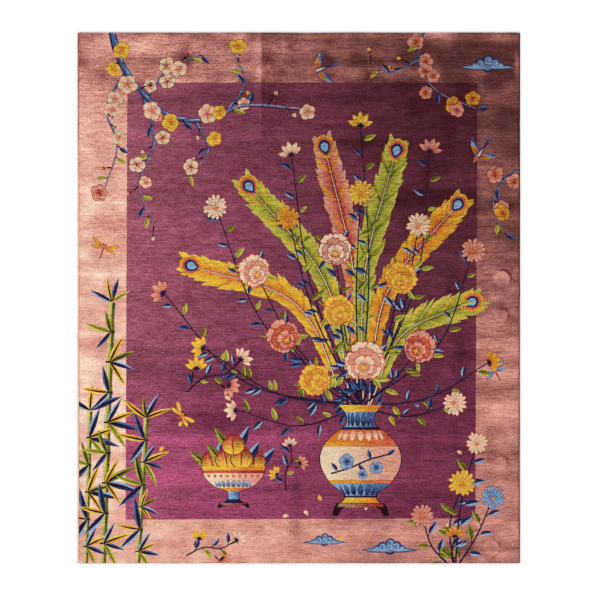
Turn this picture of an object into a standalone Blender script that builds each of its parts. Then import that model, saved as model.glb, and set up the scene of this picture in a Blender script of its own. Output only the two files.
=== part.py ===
"""A hand-knotted wool rug of the Chinese art deco kind, lying flat with its pile up.

Metres, +Z up. The origin is at floor level under the middle of the rug. +Y runs along the
warps to the top end, and +X runs to the right-hand side cord.

A rug of this kind is one woven piece: cotton warps and wefts with the wool pile knotted onto
them. Only the two side cords are added to it, sewn along the long edges.
"""

import math
from collections import namedtuple

import bmesh
import bpy
from mathutils import Vector

# Driving dimensions
RUG_WIDTH = 2.440
RUG_LENGTH = 2.926
FOUNDATION_THICKNESS = 0.003
PILE_HEIGHT = 0.009
CORD_WIDTH = 0.008
CORD_HEIGHT = 0.009
SEWN_GAP = 0.0003

# Rounding of the carpet's edges and of the cords' ends
CORNER_RADIUS = 0.006
PILE_ROUNDING = 0.004
PILE_ROUNDING_STEPS = 3
UNDERSIDE_BEVEL = 0.001
CORD_END_LENGTH = 0.003
CORD_END_SCALE = 0.6

# How finely the long shapes are divided
EDGE_STATION = 0.060
CORNER_STEPS = 4
CORD_SIDES = 12
SMOOTH_BELOW = math.radians(40)

# How far each edge wanders inside the straight line between its corners, in how many waves
EdgeRun = namedtuple("EdgeRun", "wander waves phase")
LEFT_RUN = EdgeRun(wander=0.0005, waves=6, phase=0.6)
RIGHT_RUN = EdgeRun(wander=0.0004, waves=5, phase=2.1)
TOP_RUN = EdgeRun(wander=0.0009, waves=4, phase=1.3)
BOTTOM_RUN = EdgeRun(wander=0.0013, waves=9, phase=3.7)

RUG_THICKNESS = FOUNDATION_THICKNESS + PILE_HEIGHT
HALF_WIDTH = RUG_WIDTH / 2
HALF_LENGTH = RUG_LENGTH / 2
CARPET_HALF_WIDTH = HALF_WIDTH - CORD_WIDTH - SEWN_GAP


def clear_scene():
    for obj in list(bpy.data.objects):
        bpy.data.objects.remove(obj, do_unlink=True)


def plain_material(name, colour, roughness):
    material = bpy.data.materials.new(name)
    material.use_nodes = True
    shader = material.node_tree.nodes["Principled BSDF"]
    shader.inputs["Base Color"].default_value = (*colour, 1.0)
    shader.inputs["Roughness"].default_value = roughness
    shader.inputs["Metallic"].default_value = 0.0
    material.diffuse_color = (*colour, 1.0)
    return material


def object_from(mesh_maker, name, material):
    """The closed mesh that mesh_maker builds in a bmesh, as one object."""
    bm = bmesh.new()
    mesh_maker(bm)
    bmesh.ops.recalc_face_normals(bm, faces=bm.faces)
    mesh = bpy.data.meshes.new(name)
    bm.to_mesh(mesh)
    bm.free()
    mesh.materials.append(material)
    mesh.shade_smooth()
    mesh.set_sharp_from_angle(angle=SMOOTH_BELOW)
    obj = bpy.data.objects.new(name, mesh)
    bpy.context.scene.collection.objects.link(obj)
    return obj


def drawn_in(run, along, length):
    """How far inside its straight line an edge lies, at a distance along it."""
    share = along / length
    swell = math.sin(math.pi * share)
    wave = 0.5 * (1 + math.sin(math.tau * run.waves * share + run.phase))
    return swell * run.wander * wave


def stations(start, end):
    """Evenly spaced places from start to end, both included."""
    count = math.ceil(abs(end - start) / EDGE_STATION)
    return [start + (end - start) * i / count for i in range(count + 1)]


def side_x(side, y, half_width):
    """x of a long edge at y: side is -1 on the left and 1 on the right."""
    run = LEFT_RUN if side < 0 else RIGHT_RUN
    return side * (half_width - drawn_in(run, y + HALF_LENGTH, RUG_LENGTH))


def end_y(end, x):
    """y of a short edge at x: end is 1 at the top and -1 at the bottom."""
    run = TOP_RUN if end > 0 else BOTTOM_RUN
    return end * (HALF_LENGTH - drawn_in(run, x + HALF_WIDTH, RUG_WIDTH))


def corner_arc(side, end):
    """The rounded corner, from the long edge to the short one."""
    centre = Vector((
        side_x(side, end * (HALF_LENGTH - CORNER_RADIUS), CARPET_HALF_WIDTH) - side * CORNER_RADIUS,
        end_y(end, side * (CARPET_HALF_WIDTH - CORNER_RADIUS)) - end * CORNER_RADIUS,
    ))
    arc = []
    for step in range(1, CORNER_STEPS):
        turn = 0.5 * math.pi * step / CORNER_STEPS
        arc.append(centre + CORNER_RADIUS * Vector((side * math.cos(turn), end * math.sin(turn))))
    return arc


def carpet_outline():
    """The carpet's outline, anticlockwise from the bottom of the right edge."""
    reach_x = CARPET_HALF_WIDTH - CORNER_RADIUS
    reach_y = HALF_LENGTH - CORNER_RADIUS
    outline = [Vector((side_x(1, y, CARPET_HALF_WIDTH), y)) for y in stations(-reach_y, reach_y)]
    outline += corner_arc(1, 1)
    outline += [Vector((x, end_y(1, x))) for x in stations(reach_x, -reach_x)]
    outline += reversed(corner_arc(-1, 1))
    outline += [Vector((side_x(-1, y, CARPET_HALF_WIDTH), y)) for y in stations(reach_y, -reach_y)]
    outline += corner_arc(-1, -1)
    outline += [Vector((x, end_y(-1, x))) for x in stations(-reach_x, reach_x)]
    outline += reversed(corner_arc(1, -1))
    return outline


def edges_at(bm, height):
    """The edges that lie level at this height."""
    return [
        edge for edge in bm.edges
        if all(abs(vert.co.z - height) < UNDERSIDE_BEVEL / 10 for vert in edge.verts)
    ]


def make_carpet(bm):
    """Foundation and pile as one flat slab, its pile rounded over along the edges."""
    base = bm.faces.new([bm.verts.new((point.x, point.y, 0.0)) for point in carpet_outline()])
    raised = bmesh.ops.extrude_face_region(bm, geom=[base], use_keep_orig=True)
    top = [item for item in raised["geom"] if isinstance(item, bmesh.types.BMVert)]
    bmesh.ops.translate(bm, verts=top, vec=(0.0, 0.0, RUG_THICKNESS))
    bmesh.ops.recalc_face_normals(bm, faces=bm.faces)
    bmesh.ops.bevel(
        bm, geom=edges_at(bm, RUG_THICKNESS), offset=PILE_ROUNDING,
        segments=PILE_ROUNDING_STEPS, profile=0.5, affect="EDGES",
    )
    bmesh.ops.bevel(
        bm, geom=edges_at(bm, 0.0), offset=UNDERSIDE_BEVEL,
        segments=1, profile=0.5, affect="EDGES",
    )


def cord_section(width, height):
    """(across, up) points of a cord whose lowest side lies flat on the floor."""
    half_side = math.pi / CORD_SIDES
    to_corner = 0.5 / math.cos(half_side)
    section = []
    for index in range(CORD_SIDES):
        turn = half_side * (2 * index + 1)
        section.append((
            width * to_corner * math.cos(turn),
            height * max(0.5 + to_corner * math.sin(turn), 0.0),
        ))
    return section


def cord_rings():
    """(y, scale) of the cord's rings, which get smaller at both ends."""
    whole = stations(CORD_END_LENGTH - HALF_LENGTH, HALF_LENGTH - CORD_END_LENGTH)
    rings = [(y, 1.0) for y in whole]
    return [(-HALF_LENGTH, CORD_END_SCALE)] + rings + [(HALF_LENGTH, CORD_END_SCALE)]


def make_cord(side):
    """A maker of one side cord, which follows the long edge that it is sewn to."""
    def fill(bm):
        rings = []
        for y, scale in cord_rings():
            middle = side_x(side, y, HALF_WIDTH - CORD_WIDTH / 2)
            section = cord_section(CORD_WIDTH * scale, CORD_HEIGHT * scale)
            rings.append([bm.verts.new((middle + across, y, up)) for across, up in section])
        for near, far in zip(rings, rings[1:]):
            for index in range(CORD_SIDES):
                after = (index + 1) % CORD_SIDES
                bm.faces.new((near[index], near[after], far[after], far[index]))
        bm.faces.new(rings[0])
        bm.faces.new(reversed(rings[-1]))
    return fill


def main():
    clear_scene()
    pile_wool = plain_material("pile_wool", (0.115, 0.028, 0.045), 0.95)
    left_yarn = plain_material("left_cord_yarn", (0.530, 0.310, 0.240), 0.90)
    right_yarn = plain_material("right_cord_yarn", (0.130, 0.052, 0.052), 0.90)
    object_from(make_carpet, "carpet", pile_wool)
    object_from(make_cord(-1), "selvedge_left", left_yarn)
    object_from(make_cord(1), "selvedge_right", right_yarn)


main()
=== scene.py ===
"""The looks of a Chinese art deco rug, laid flat on a pale floor and seen from straight above.

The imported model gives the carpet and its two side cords. Here the carpet becomes a mesh whose
top is divided along the outlines of its woven design, each area in its own yarn. Metres, +Z up.
"""

import math
from collections import namedtuple

import bpy
import numpy as np
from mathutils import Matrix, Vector
from mathutils.bvhtree import BVHTree
from mathutils.geometry import delaunay_2d_cdt


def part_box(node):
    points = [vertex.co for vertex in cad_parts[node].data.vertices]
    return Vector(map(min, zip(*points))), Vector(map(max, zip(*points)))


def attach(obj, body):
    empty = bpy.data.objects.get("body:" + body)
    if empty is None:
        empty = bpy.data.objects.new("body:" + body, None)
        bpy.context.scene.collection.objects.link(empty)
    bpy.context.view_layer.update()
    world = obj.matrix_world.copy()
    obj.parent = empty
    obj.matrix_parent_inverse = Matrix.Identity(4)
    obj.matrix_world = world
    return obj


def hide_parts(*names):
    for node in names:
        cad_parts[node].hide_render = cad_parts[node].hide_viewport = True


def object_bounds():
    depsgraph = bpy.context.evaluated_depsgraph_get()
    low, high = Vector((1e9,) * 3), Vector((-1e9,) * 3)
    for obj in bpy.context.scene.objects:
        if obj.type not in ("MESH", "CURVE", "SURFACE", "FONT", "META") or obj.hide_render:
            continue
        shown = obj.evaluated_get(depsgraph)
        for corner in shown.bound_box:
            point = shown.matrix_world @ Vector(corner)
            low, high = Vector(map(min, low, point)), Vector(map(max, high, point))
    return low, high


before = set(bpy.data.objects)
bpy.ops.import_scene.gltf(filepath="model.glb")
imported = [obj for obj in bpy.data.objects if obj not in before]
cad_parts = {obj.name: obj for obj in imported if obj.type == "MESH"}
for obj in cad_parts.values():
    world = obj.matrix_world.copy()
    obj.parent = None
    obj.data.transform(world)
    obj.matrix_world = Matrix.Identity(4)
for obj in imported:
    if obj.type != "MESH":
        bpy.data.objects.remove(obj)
cad_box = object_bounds()

# ---- Sizes taken from the frame

CARPET_LOW, CARPET_HIGH = (np.array(corner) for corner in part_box("carpet"))
RUG_LOW, RUG_HIGH = (np.array(corner) for corner in cad_box)
RUG_SIZE = RUG_HIGH - RUG_LOW
PILE_TOP = float(CARPET_HIGH[2])

SEED = 1930

# ---- Yarns

LIGHT_GAIN = 1.13
SHEEN_LIFT = 0.006
DARKEST_DYE = 0.002


def yarn(red, green, blue):
    """The dye that shows these screen values, 0 to 255, under the studio's light. The numbers
    in it are those of the standard curve between screen values and light."""
    screen = np.array((red, green, blue)) / 255.0
    seen = np.where(screen <= 0.04045, screen / 12.92, ((screen + 0.055) / 1.055) ** 2.4)
    return np.maximum(seen / LIGHT_GAIN - SHEEN_LIFT, DARKEST_DYE)


BLUSH = yarn(245, 210, 188)
APRICOT = yarn(230, 173, 154)
ROSE = yarn(208, 142, 129)
BRICK = yarn(154, 94, 89)
UMBER = yarn(88, 49, 48)
MAGENTA = yarn(200, 96, 132)
PLUM = yarn(149, 76, 98)
WINE = yarn(67, 30, 38)
INK = yarn(40, 22, 30)
NAVY = yarn(44, 44, 84)
SLATE = yarn(78, 102, 150)
SKY = yarn(140, 170, 204)
LILAC = yarn(150, 124, 160)
IVORY = yarn(238, 212, 178)
PINK = yarn(224, 156, 134)
CORAL = yarn(208, 98, 70)
RED = yarn(150, 46, 52)
ORANGE = yarn(224, 126, 50)
GOLD = yarn(222, 160, 50)
YELLOW = yarn(234, 192, 70)
LEMON = yarn(200, 188, 82)
LIME = yarn(160, 156, 54)
OLIVE = yarn(108, 106, 42)
GREEN = yarn(64, 78, 48)
TAN = yarn(176, 128, 98)
COTTON = yarn(150, 124, 104)

Blend = namedtuple("Blend", "deep middle light")
CORALS = Blend(RED, CORAL, PINK)
GOLDS = Blend(CORAL, GOLD, YELLOW)
IVORIES = Blend(CORAL, PINK, IVORY)
PINKS = Blend(RED, PINK, IVORY)
ORANGES = Blend(RED, ORANGE, GOLD)
BLUES = Blend(NAVY, SLATE, SKY)
DARK_BLUES = Blend(INK, NAVY, SLATE)
LIMES = Blend(OLIVE, LIME, LEMON)
OLIVES = Blend(GREEN, OLIVE, LIME)

# ---- Outlines and paths, as rows of x and y

LENS_STEPS = 7
PATH_STEP = 0.02


def lens(length, width, belly=0.5, fullness=1.0, bend=0.0, low=1.0, high=1.0):
    """A petal, leaf or feather along +X from the origin: widest at the belly's share of its
    length, blunter with less fullness. low and high are the shares of its two sides."""
    share = 0.5 - 0.5 * np.cos(np.linspace(0.0, math.pi, LENS_STEPS + 1))
    to_belly = math.log(0.5) / math.log(belly)
    half = 0.5 * width * np.abs(np.sin(math.pi * share ** to_belly)) ** fullness
    middle = bend * length * share ** 2
    lower = np.column_stack((share * length, middle - low * half))
    upper = np.column_stack((share * length, middle + high * half))
    return np.vstack((lower, upper[-2:0:-1]))


def polar(reach, turn):
    return np.column_stack((reach * np.cos(turn), reach * np.sin(turn)))


def disc(radius, steps):
    return polar(radius, np.linspace(0.0, math.tau, steps, endpoint=False))


def fan(spread, lobes):
    """A petal with a ruffled edge, one unit long, that opens along +X from the origin."""
    across = np.linspace(-1.0, 1.0, 4 * lobes + 1)
    scallop = 1.0 - np.abs(np.sin(0.5 * lobes * math.pi * (across + 1.0)))
    reach = (0.74 + 0.26 * (1.0 - across ** 4)) * (1.0 - 0.09 * scallop)
    return np.vstack(((0.0, 0.0), polar(reach, 0.5 * math.radians(spread) * across)))


def smooth_path(route, step=PATH_STEP):
    """Points along a smooth curve through the route's points."""
    route = np.array(route, float)
    ends = np.vstack((2 * route[0] - route[1], route, 2 * route[-1] - route[-2]))
    runs = []
    for before, here, there, after in zip(ends, ends[1:], ends[2:], ends[3:]):
        count = max(2, round(float(np.linalg.norm(there - here)) / step))
        t = np.linspace(0.0, 1.0, count, endpoint=False)[:, None]
        runs.append(0.5 * (
            2 * here + (there - before) * t
            + (2 * before - 5 * here + 4 * there - after) * t ** 2
            + (3 * here - before - 3 * there + after) * t ** 3
        ))
    return np.vstack(runs + [route[-1:]])


def length_of(path):
    return float(np.sum(np.linalg.norm(np.diff(path, axis=0), axis=1)))


def evenly(path, count):
    """The path as count + 1 points that lie evenly along it."""
    lengths = np.linalg.norm(np.diff(path, axis=0), axis=1)
    along = np.concatenate(((0.0,), np.cumsum(lengths)))
    wanted = np.linspace(0.0, along[-1], count + 1)
    return np.column_stack([np.interp(wanted, along, path[:, axis]) for axis in (0, 1)])


def closed_evenly(outline, step):
    """A closed outline as points that lie about a step apart."""
    looped = np.vstack((outline, outline[:1]))
    return evenly(looped, round(length_of(looped) / step))[:-1]


def across_path(path):
    """Unit vectors to the left of the path at each of its points."""
    ahead = np.gradient(path, axis=0)
    ahead /= np.linalg.norm(ahead, axis=1)[:, None]
    return np.column_stack((-ahead[:, 1], ahead[:, 0]))


def headings(path):
    """The direction of the path at each of its points, in degrees."""
    left = across_path(path)
    return np.degrees(np.arctan2(-left[:, 0], left[:, 1]))


def bowed(start, end, bow):
    """A route from start to end that bows to its left by a share of its length."""
    start, end = np.array(start), np.array(end)
    run = end - start
    return start, start + 0.5 * run + bow * np.array((-run[1], run[0])), end


# ---- Places on the rug, where motifs are painted

Area = namedtuple("Area", "outline near far start end around")


def turned(degrees, size, flat):
    """The matrix that flattens points across, scales them and turns them."""
    cos, sin = math.cos(math.radians(degrees)), math.sin(math.radians(degrees))
    return size * np.array(((cos, -sin * flat), (sin, cos * flat)))


class Place:
    """Where a motif stands on the rug, with its turn, its size and how flat it is drawn. All
    places share one list of areas of yarn, each laid over the ones before it."""

    def __init__(self, areas, rng, origin=(0.0, 0.0), matrix=np.eye(2)):
        self.areas = areas
        self.rng = rng
        self.origin = np.array(origin)
        self.matrix = matrix

    def vary(self, amount):
        """A random number, up to amount each way."""
        return float(self.rng.uniform(-amount, amount))

    def on_rug(self, points):
        return np.asarray(points, float) @ self.matrix.T + self.origin

    def within(self, x=0.0, y=0.0, turn=0.0, size=1.0, flat=1.0):
        """A place given in this place's own terms."""
        matrix = self.matrix @ turned(turn, size, flat)
        return Place(self.areas, self.rng, self.on_rug((x, y)), matrix)

    def paint(self, outline, near, far=None, span=None, around=False):
        """One area, shaded from near to far over the span, or outwards over it where around is
        set. The span runs along +X unless it is given."""
        if span is None:
            span = ((0.0, 0.0), (outline[:, 0].max(), 0.0))
        start, end = self.on_rug(span)
        drawn = self.on_rug(outline)
        x, y = drawn.T
        clockwise = np.dot(x, np.roll(y, -1)) < np.dot(y, np.roll(x, -1))
        drawn = drawn[::-1] if clockwise else drawn
        self.areas.append(Area(drawn, near, near if far is None else far, start, end, around))

    def strip(self, path, widths, near, far=None, shift=0.0):
        """A strip along the path, moved to its left by a share of its width."""
        left = across_path(path)
        widths = np.broadcast_to(widths, len(path))[:, None]
        middle = path + shift * widths * left
        outline = np.vstack((middle - 0.5 * widths * left, (middle + 0.5 * widths * left)[::-1]))
        self.paint(outline, near, far, (outline[0], outline[len(path)]))


# ---- Flowers and fruit, one unit long from their origin

# How much of a petal its body takes up inside the edge, and how far out it lies
PETAL_BODY = 0.89
PETAL_SHIFT = 0.05
# Rings of petals: their count, their reach, and their spread in degrees or their width
PEONY_RINGS = ((7, 1.0, 68), (6, 0.76, 74), (5, 0.52, 84), (3, 0.3, 112))
DAISY_RINGS = ((14, 1.0, 0.25), (11, 0.72, 0.23), (8, 0.45, 0.2))
# The turn and length of each petal of a cup flower, from the sides to the middle
CUP_PETALS = ((-52, 0.84), (52, 0.88), (-27, 0.97), (27, 0.93), (0, 1.0))
SEPAL_TURNS = (-66, -30, 0, 30, 66)


def ring_turns(place, count, wander):
    """The turns of a ring's petals, a little uneven, from the far side to the near one."""
    even = [360.0 * index / count - 180.0 for index in range(count)]
    return sorted((turn + place.vary(wander) for turn in even), key=abs)


def petal(place, outline, blend):
    """A petal edged in the blend's deep yarn, its body shaded outwards."""
    place.paint(outline, blend.deep)
    place.paint(PETAL_BODY * outline + (PETAL_SHIFT, 0.0), blend.middle, blend.light)


def peony(place, blend):
    """A full flower seen from a little below: rings of ruffled petals, taller at the back."""
    for depth, (count, reach, spread) in enumerate(PEONY_RINGS):
        shades = Blend(blend.deep, blend.deep, blend.middle) if depth % 2 else blend
        for turn in ring_turns(place, count, 7.0):
            taller = 1.0 + 0.16 * math.cos(math.radians(turn)) + place.vary(0.06)
            here = place.within(x=-0.09 * depth, turn=turn, size=reach * taller)
            petal(here, fan(spread, 3 if depth < 2 else 2), shades)
            here.paint(lens(0.64, 0.09, 0.6, bend=place.vary(0.15)), blend.deep, shades.middle)
    heart = place.within(x=-0.2)
    for index in range(9):
        stamen = heart.within(turn=40.0 * index + place.vary(9.0))
        stamen.within(x=0.05 + 0.07 * (index % 2)).paint(disc(0.045, 6), YELLOW)


def daisy(place, blend):
    """A chrysanthemum seen a little from the side: rings of narrow petals with blunt tips."""
    for depth, (count, reach, width) in enumerate(DAISY_RINGS):
        for turn in ring_turns(place, count, 4.0):
            here = place.within(x=-0.05 * depth, turn=turn, size=reach * (1.0 + place.vary(0.07)))
            petal(here, lens(1.0, 1.25 * width, 0.7, 0.7, place.vary(0.09)), blend)
    place.within(x=-0.11).paint(disc(0.15, 8), GOLD, ORANGE, around=True)


def blossom(place, blend):
    """A plum blossom: five round petals, their stamens and an eye."""
    for index in range(5):
        here = place.within(turn=72.0 * index + place.vary(5.0), size=1.0 + place.vary(0.08))
        petal(here, lens(1.0, 1.02, 0.6, 0.55), blend)
    for index in range(5):
        stamen = place.within(turn=72.0 * index + 36.0)
        stamen.paint(lens(0.5, 0.08), blend.deep)
        stamen.within(x=0.5).paint(disc(0.07, 5), YELLOW)
    place.paint(disc(0.15, 7), blend.deep)


def cup_flower(place, blend):
    """A flower seen from the side, open along +X, on dark sepals."""
    for turn, length in CUP_PETALS:
        here = place.within(turn=turn + place.vary(5.0), size=length)
        petal(here, lens(1.0, 0.42, 0.5, 0.85, 0.004 * turn), blend)
    for turn in SEPAL_TURNS:
        place.within(turn=turn).paint(lens(0.34, 0.12), INK, NAVY)


def bud(place, blend):
    place.paint(lens(1.0, 0.62, 0.45, 0.8), blend.middle, blend.light)
    place.paint(lens(1.0, 0.62, 0.45, 0.8, low=0.0, high=0.45), blend.deep, blend.middle)
    for turn in (-34, 34):
        place.within(turn=turn).paint(lens(0.5, 0.2), INK)


def peach(place):
    """A peach with its point along +X, and two leaves behind it."""
    for turn, kind in ((28, LIME_LEAF), (-34, SKY_LEAF)):
        leaf(place.within(turn=turn, size=1.5), kind, width=0.3)
    whole = lens(1.0, 1.06, 0.44, 0.5)
    place.paint(whole, RED)
    place.paint(0.9 * whole + (0.05, 0.0), YELLOW, RED)
    place.paint(lens(0.8, 0.5, 0.4, 0.7, low=0.0) + (0.05, 0.06), YELLOW, CORAL)
    place.paint(lens(0.9, 0.07, 0.5, 0.8, 0.1), RED)


# ---- Leaves, stems and feathers

Leaf = namedtuple("Leaf", "upper lower vein")
LIME_LEAF = Leaf(LIME, OLIVE, INK)
LEMON_LEAF = Leaf(LEMON, LIME, OLIVE)
SKY_LEAF = Leaf(SKY, NAVY, INK)
SLATE_LEAF = Leaf(SLATE, NAVY, INK)
GOLD_LEAF = Leaf(YELLOW, GOLD, INK)


def leaf(place, kind, width=0.42, bend=0.1):
    """A small leaf in two halves, with its vein."""
    place.paint(lens(1.0, width, 0.42, 0.9, bend, low=0.0), kind.upper)
    place.paint(lens(1.0, width, 0.42, 0.9, bend, high=0.0), kind.lower)
    place.paint(lens(0.92, 0.07, 0.3, 0.8, bend), kind.vein)


def leafy(rug, route, kinds, width, every, size):
    """A dark stem along the route, blue on its lit side, with leaves on alternate sides."""
    path = smooth_path(route)
    widths = width * np.linspace(1.0, 0.6, len(path))
    rug.strip(path, widths, INK)
    rug.strip(path, 0.46 * widths, NAVY, shift=0.42)
    points = evenly(path, max(2, round(length_of(path) / every)))
    for index, heading in enumerate(headings(points)[1:-1], 1):
        side = 1.0 if index % 2 else -1.0
        turn = heading + side * (50.0 + rug.vary(14.0))
        grown = size * (1.0 + rug.vary(0.22))
        foot = rug.within(*points[index], turn)
        foot.paint(lens(0.3 * grown, 0.006), INK)
        leaf(foot.within(x=0.25 * grown, size=grown, flat=side), kinds[index % len(kinds)])


def branch(rug, path, width):
    """A knotty branch: dark below, lit above, with pale flecks along its top."""
    share = np.linspace(0.0, 1.0, len(path))
    knots = 1.0 + 0.2 * np.sin(31.0 * share + path[0, 0]) * np.sin(17.0 * share)
    widths = width * (1.0 - 0.62 * share) * knots
    rug.strip(path, widths, NAVY, INK)
    rug.strip(path, 0.62 * widths, SLATE, LILAC, 0.12)
    for index in range(1, len(path) - 3, 4):
        rug.strip(path[index:index + 3], 0.2 * widths[index], SKY, shift=1.1)


def flowering(rug, route, blends, width, every=0.06, size=0.046):
    """A branch along the route, with blossoms, buds and leaves on spurs of uneven length."""
    path = smooth_path(route)
    branch(rug, path, width)
    points = evenly(path, max(3, round(length_of(path) / every)))
    for index, heading in enumerate(headings(points)[1:], 1):
        side = 1.0 if rug.vary(1.0) > 0.0 else -1.0
        foot = rug.within(*points[index], heading + side * (50.0 + rug.vary(25.0)))
        reach = size * (0.9 + rug.vary(0.4))
        foot.paint(lens(1.1 * reach, 0.009, 0.3), INK)
        kind = (index + round(rug.vary(0.8))) % 4
        blend = blends[round(2.0 + rug.vary(2.0)) % len(blends)]
        if kind in (0, 2):
            grown = size * (1.0 + rug.vary(0.16))
            blossom(foot.within(x=reach, turn=rug.vary(90.0), size=grown, flat=0.9), blend)
        elif kind == 1:
            bud(foot.within(x=reach, turn=rug.vary(20.0), size=0.72 * size), blend)
        else:
            leaf(foot.within(x=0.3 * reach, size=1.3 * size), (LEMON_LEAF, SLATE_LEAF)[index % 2])


FEATHER_WIDTH = 0.175
FEATHER_BARBS = 54
BARB_TURN = 33.0
# The rings of a feather's eye, each with its length and its breadth
FEATHER_EYE = ((GOLD, 1.3, 1.05), (CORAL, 1.06, 0.84), (NAVY, 0.8, 0.62), (SKY, 0.52, 0.4))


def feather(rug, route, blends):
    """A peacock feather along the route: barbs on both sides of its shaft, a few of them in the
    second blend, and an eye at its tip."""
    path = evenly(smooth_path(route), FEATHER_BARBS)
    turns = headings(path)
    gap = length_of(path) / FEATHER_BARBS
    share = np.linspace(0.0, 1.0, len(path))
    half = 0.5 * FEATHER_WIDTH * np.sin(math.pi * (0.05 + 0.75 * share ** 1.4)) ** 0.9
    first = FEATHER_BARBS // 6
    rug.strip(path[first:-2], 1.05 * half[first:-2], blends[0].deep)
    for index in range(first, FEATHER_BARBS):
        blend = blends[index % 6 == 0]
        for side in (1.0, -1.0):
            turn = turns[index] + side * (BARB_TURN + rug.vary(3.0))
            reach = half[index] / math.sin(math.radians(BARB_TURN)) * (1.0 + rug.vary(0.1))
            barb = lens(reach, 1.02 * gap, 0.66, 0.75, -0.1 * side)
            rug.within(*path[index], turn).paint(barb, blend.middle, blend.light)
    tip = rug.within(*path[-1], turns[-1], 0.62 * FEATHER_WIDTH)
    for colour, length, breadth in FEATHER_EYE:
        tip.within(x=-0.5 * length - 0.1).paint(lens(length, breadth, 0.6, 0.62), colour)
    taper = np.linspace(0.013, 0.006, len(path) - 2)
    rug.strip(path[:-2], taper, INK)
    rug.strip(path[:-2], 0.5 * taper, IVORY, shift=0.3)


def bamboo(rug, joints, width):
    """A bamboo cane in lengths between its joints, with a dark ring at the foot of each."""
    for low, high in zip(joints, joints[1:]):
        gap = 0.03 * (high - low)
        path = np.linspace(low + gap, high - gap, 5)
        swell = width * np.array((1.12, 0.96, 0.92, 0.96, 1.12))
        rug.strip(path, swell, OLIVE, GREEN)
        rug.strip(path, 0.5 * swell, LIME, LEMON, 0.4)
        rug.strip(path, 0.12 * swell, IVORY, shift=3.2)
        rug.strip(np.array((low - gap, low + gap)), 1.25 * width, INK)


BAMBOO_SPREAD = 120.0


def bamboo_leaves(place, kinds, count):
    """Lance-shaped leaves that spread from one joint, about +X."""
    for index in range(count):
        turn = BAMBOO_SPREAD * (index / (count - 1) - 0.5) + place.vary(9.0)
        lance = place.within(turn=turn, size=1.0 + place.vary(0.18))
        leaf(lance, kinds[index % len(kinds)], width=0.2, bend=-0.1)


# ---- Creatures, clouds and vessels

# The layers of a swallow's wing: turn, length and the two yarns
WING = ((104, 0.98, NAVY, SLATE), (96, 0.86, SLATE, SKY), (86, 0.66, CORAL, GOLD))
TAIL_TURNS = (172, 188)
# The turn and length of each wing of a dragonfly
DRAGONFLY_WINGS = ((64, 0.95), (-64, 0.95), (98, 0.8), (-98, 0.8))


def swallow(place):
    """A swallow that flies along +X, seen from above."""
    for turn in TAIL_TURNS:
        place.within(x=-0.3, turn=turn).paint(lens(0.95, 0.1, 0.35), NAVY, SLATE)
    for side in (1.0, -1.0):
        for turn, length, near, far in WING:
            wing = place.within(x=0.1, turn=side * turn)
            wing.paint(lens(length, 0.34, 0.32, 0.9, side * 0.32), near, far)
            wing.paint(lens(0.9 * length, 0.03, 0.4, 1.0, side * 0.34), INK)
    place.within(x=-0.48).paint(lens(1.08, 0.3, 0.58, 0.8), NAVY, SLATE)
    place.within(x=-0.3).paint(lens(0.72, 0.13, 0.6), IVORY, PINK)
    place.within(x=0.52).paint(lens(0.16, 0.07), GOLD)
    place.within(x=0.42).paint(disc(0.13, 9), CORAL)


def dragonfly(place, blend):
    """A dragonfly that flies along +X."""
    for turn, length in DRAGONFLY_WINGS:
        petal(place.within(x=0.16, turn=turn, size=length), lens(1.0, 0.27, 0.66, 0.6), blend)
    place.within(x=-0.78).paint(lens(1.15, 0.13, 0.75, 0.6), INK, CORAL)
    place.within(x=0.3).paint(disc(0.12, 9), ORANGE)
    for side in (1.0, -1.0):
        place.within(x=0.38, y=0.08 * side).paint(disc(0.055, 6), INK)


# The x, y and radius of a cloud's lobes, the scrolled ones first
CLOUD_LOBES = ((0.0, 0.0, 0.4), (0.42, 0.12, 0.33), (-0.42, 0.1, 0.31), (0.05, 0.32, 0.3),
               (0.78, -0.02, 0.22), (-0.76, -0.02, 0.2))
SCROLLED = 4


def cloud(place, blend):
    """A scrolled cloud with two tails, its lobes edged in steps of yarn."""
    for share, colour in ((1.0, blend.deep), (0.8, blend.middle), (0.56, blend.light)):
        for side in (0.0, 180.0):
            tail = place.within(y=-0.1, turn=side)
            tail.paint(lens(1.75 * (0.6 + 0.4 * share), 0.34 * share, 0.35), colour)
        for x, y, radius in CLOUD_LOBES:
            place.within(x=x, y=y).paint(disc(radius * share, 14), colour)
    turn = np.linspace(0.3, 5.2, 12)
    for x, y, radius in CLOUD_LOBES[:SCROLLED]:
        place.within(x=x, y=y).strip(polar(radius * 0.42 * turn / 5.2, turn), 0.05, blend.deep)


# A vessel's profile is its half width at each height. Its wares are the bands of its glaze from
# the foot up, each with the height of its top and its two yarns.
WARE_EDGE = 0.0045
VASE_HEIGHT = 0.54
VASE_PROFILE = ((0.0, 0.196), (0.05, 0.157), (0.1, 0.174), (0.22, 0.319), (0.4, 0.408),
                (0.56, 0.387), (0.7, 0.272), (0.79, 0.153), (0.9, 0.145), (1.0, 0.221))
VASE_WARES = (
    (0.055, YELLOW, ORANGE), (0.075, NAVY, INK), (0.2, SKY, SLATE), (0.235, GOLD, CORAL),
    (0.575, IVORY, PINK), (0.615, GOLD, CORAL), (0.745, ORANGE, CORAL), (0.775, NAVY, INK),
    (0.93, SKY, SLATE), (1.0, YELLOW, ORANGE),
)
DISH_PROFILE = ((0.0, 0.3), (0.08, 0.16), (0.22, 0.14), (0.34, 0.2), (0.46, 0.52), (0.7, 0.78),
                (0.94, 0.86), (1.0, 0.9))
DISH_WARES = (
    (0.1, NAVY, INK), (0.32, SKY, SLATE), (0.42, GOLD, CORAL), (0.82, IVORY, PINK),
    (0.9, CORAL, RED), (1.0, YELLOW, ORANGE),
)


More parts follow.
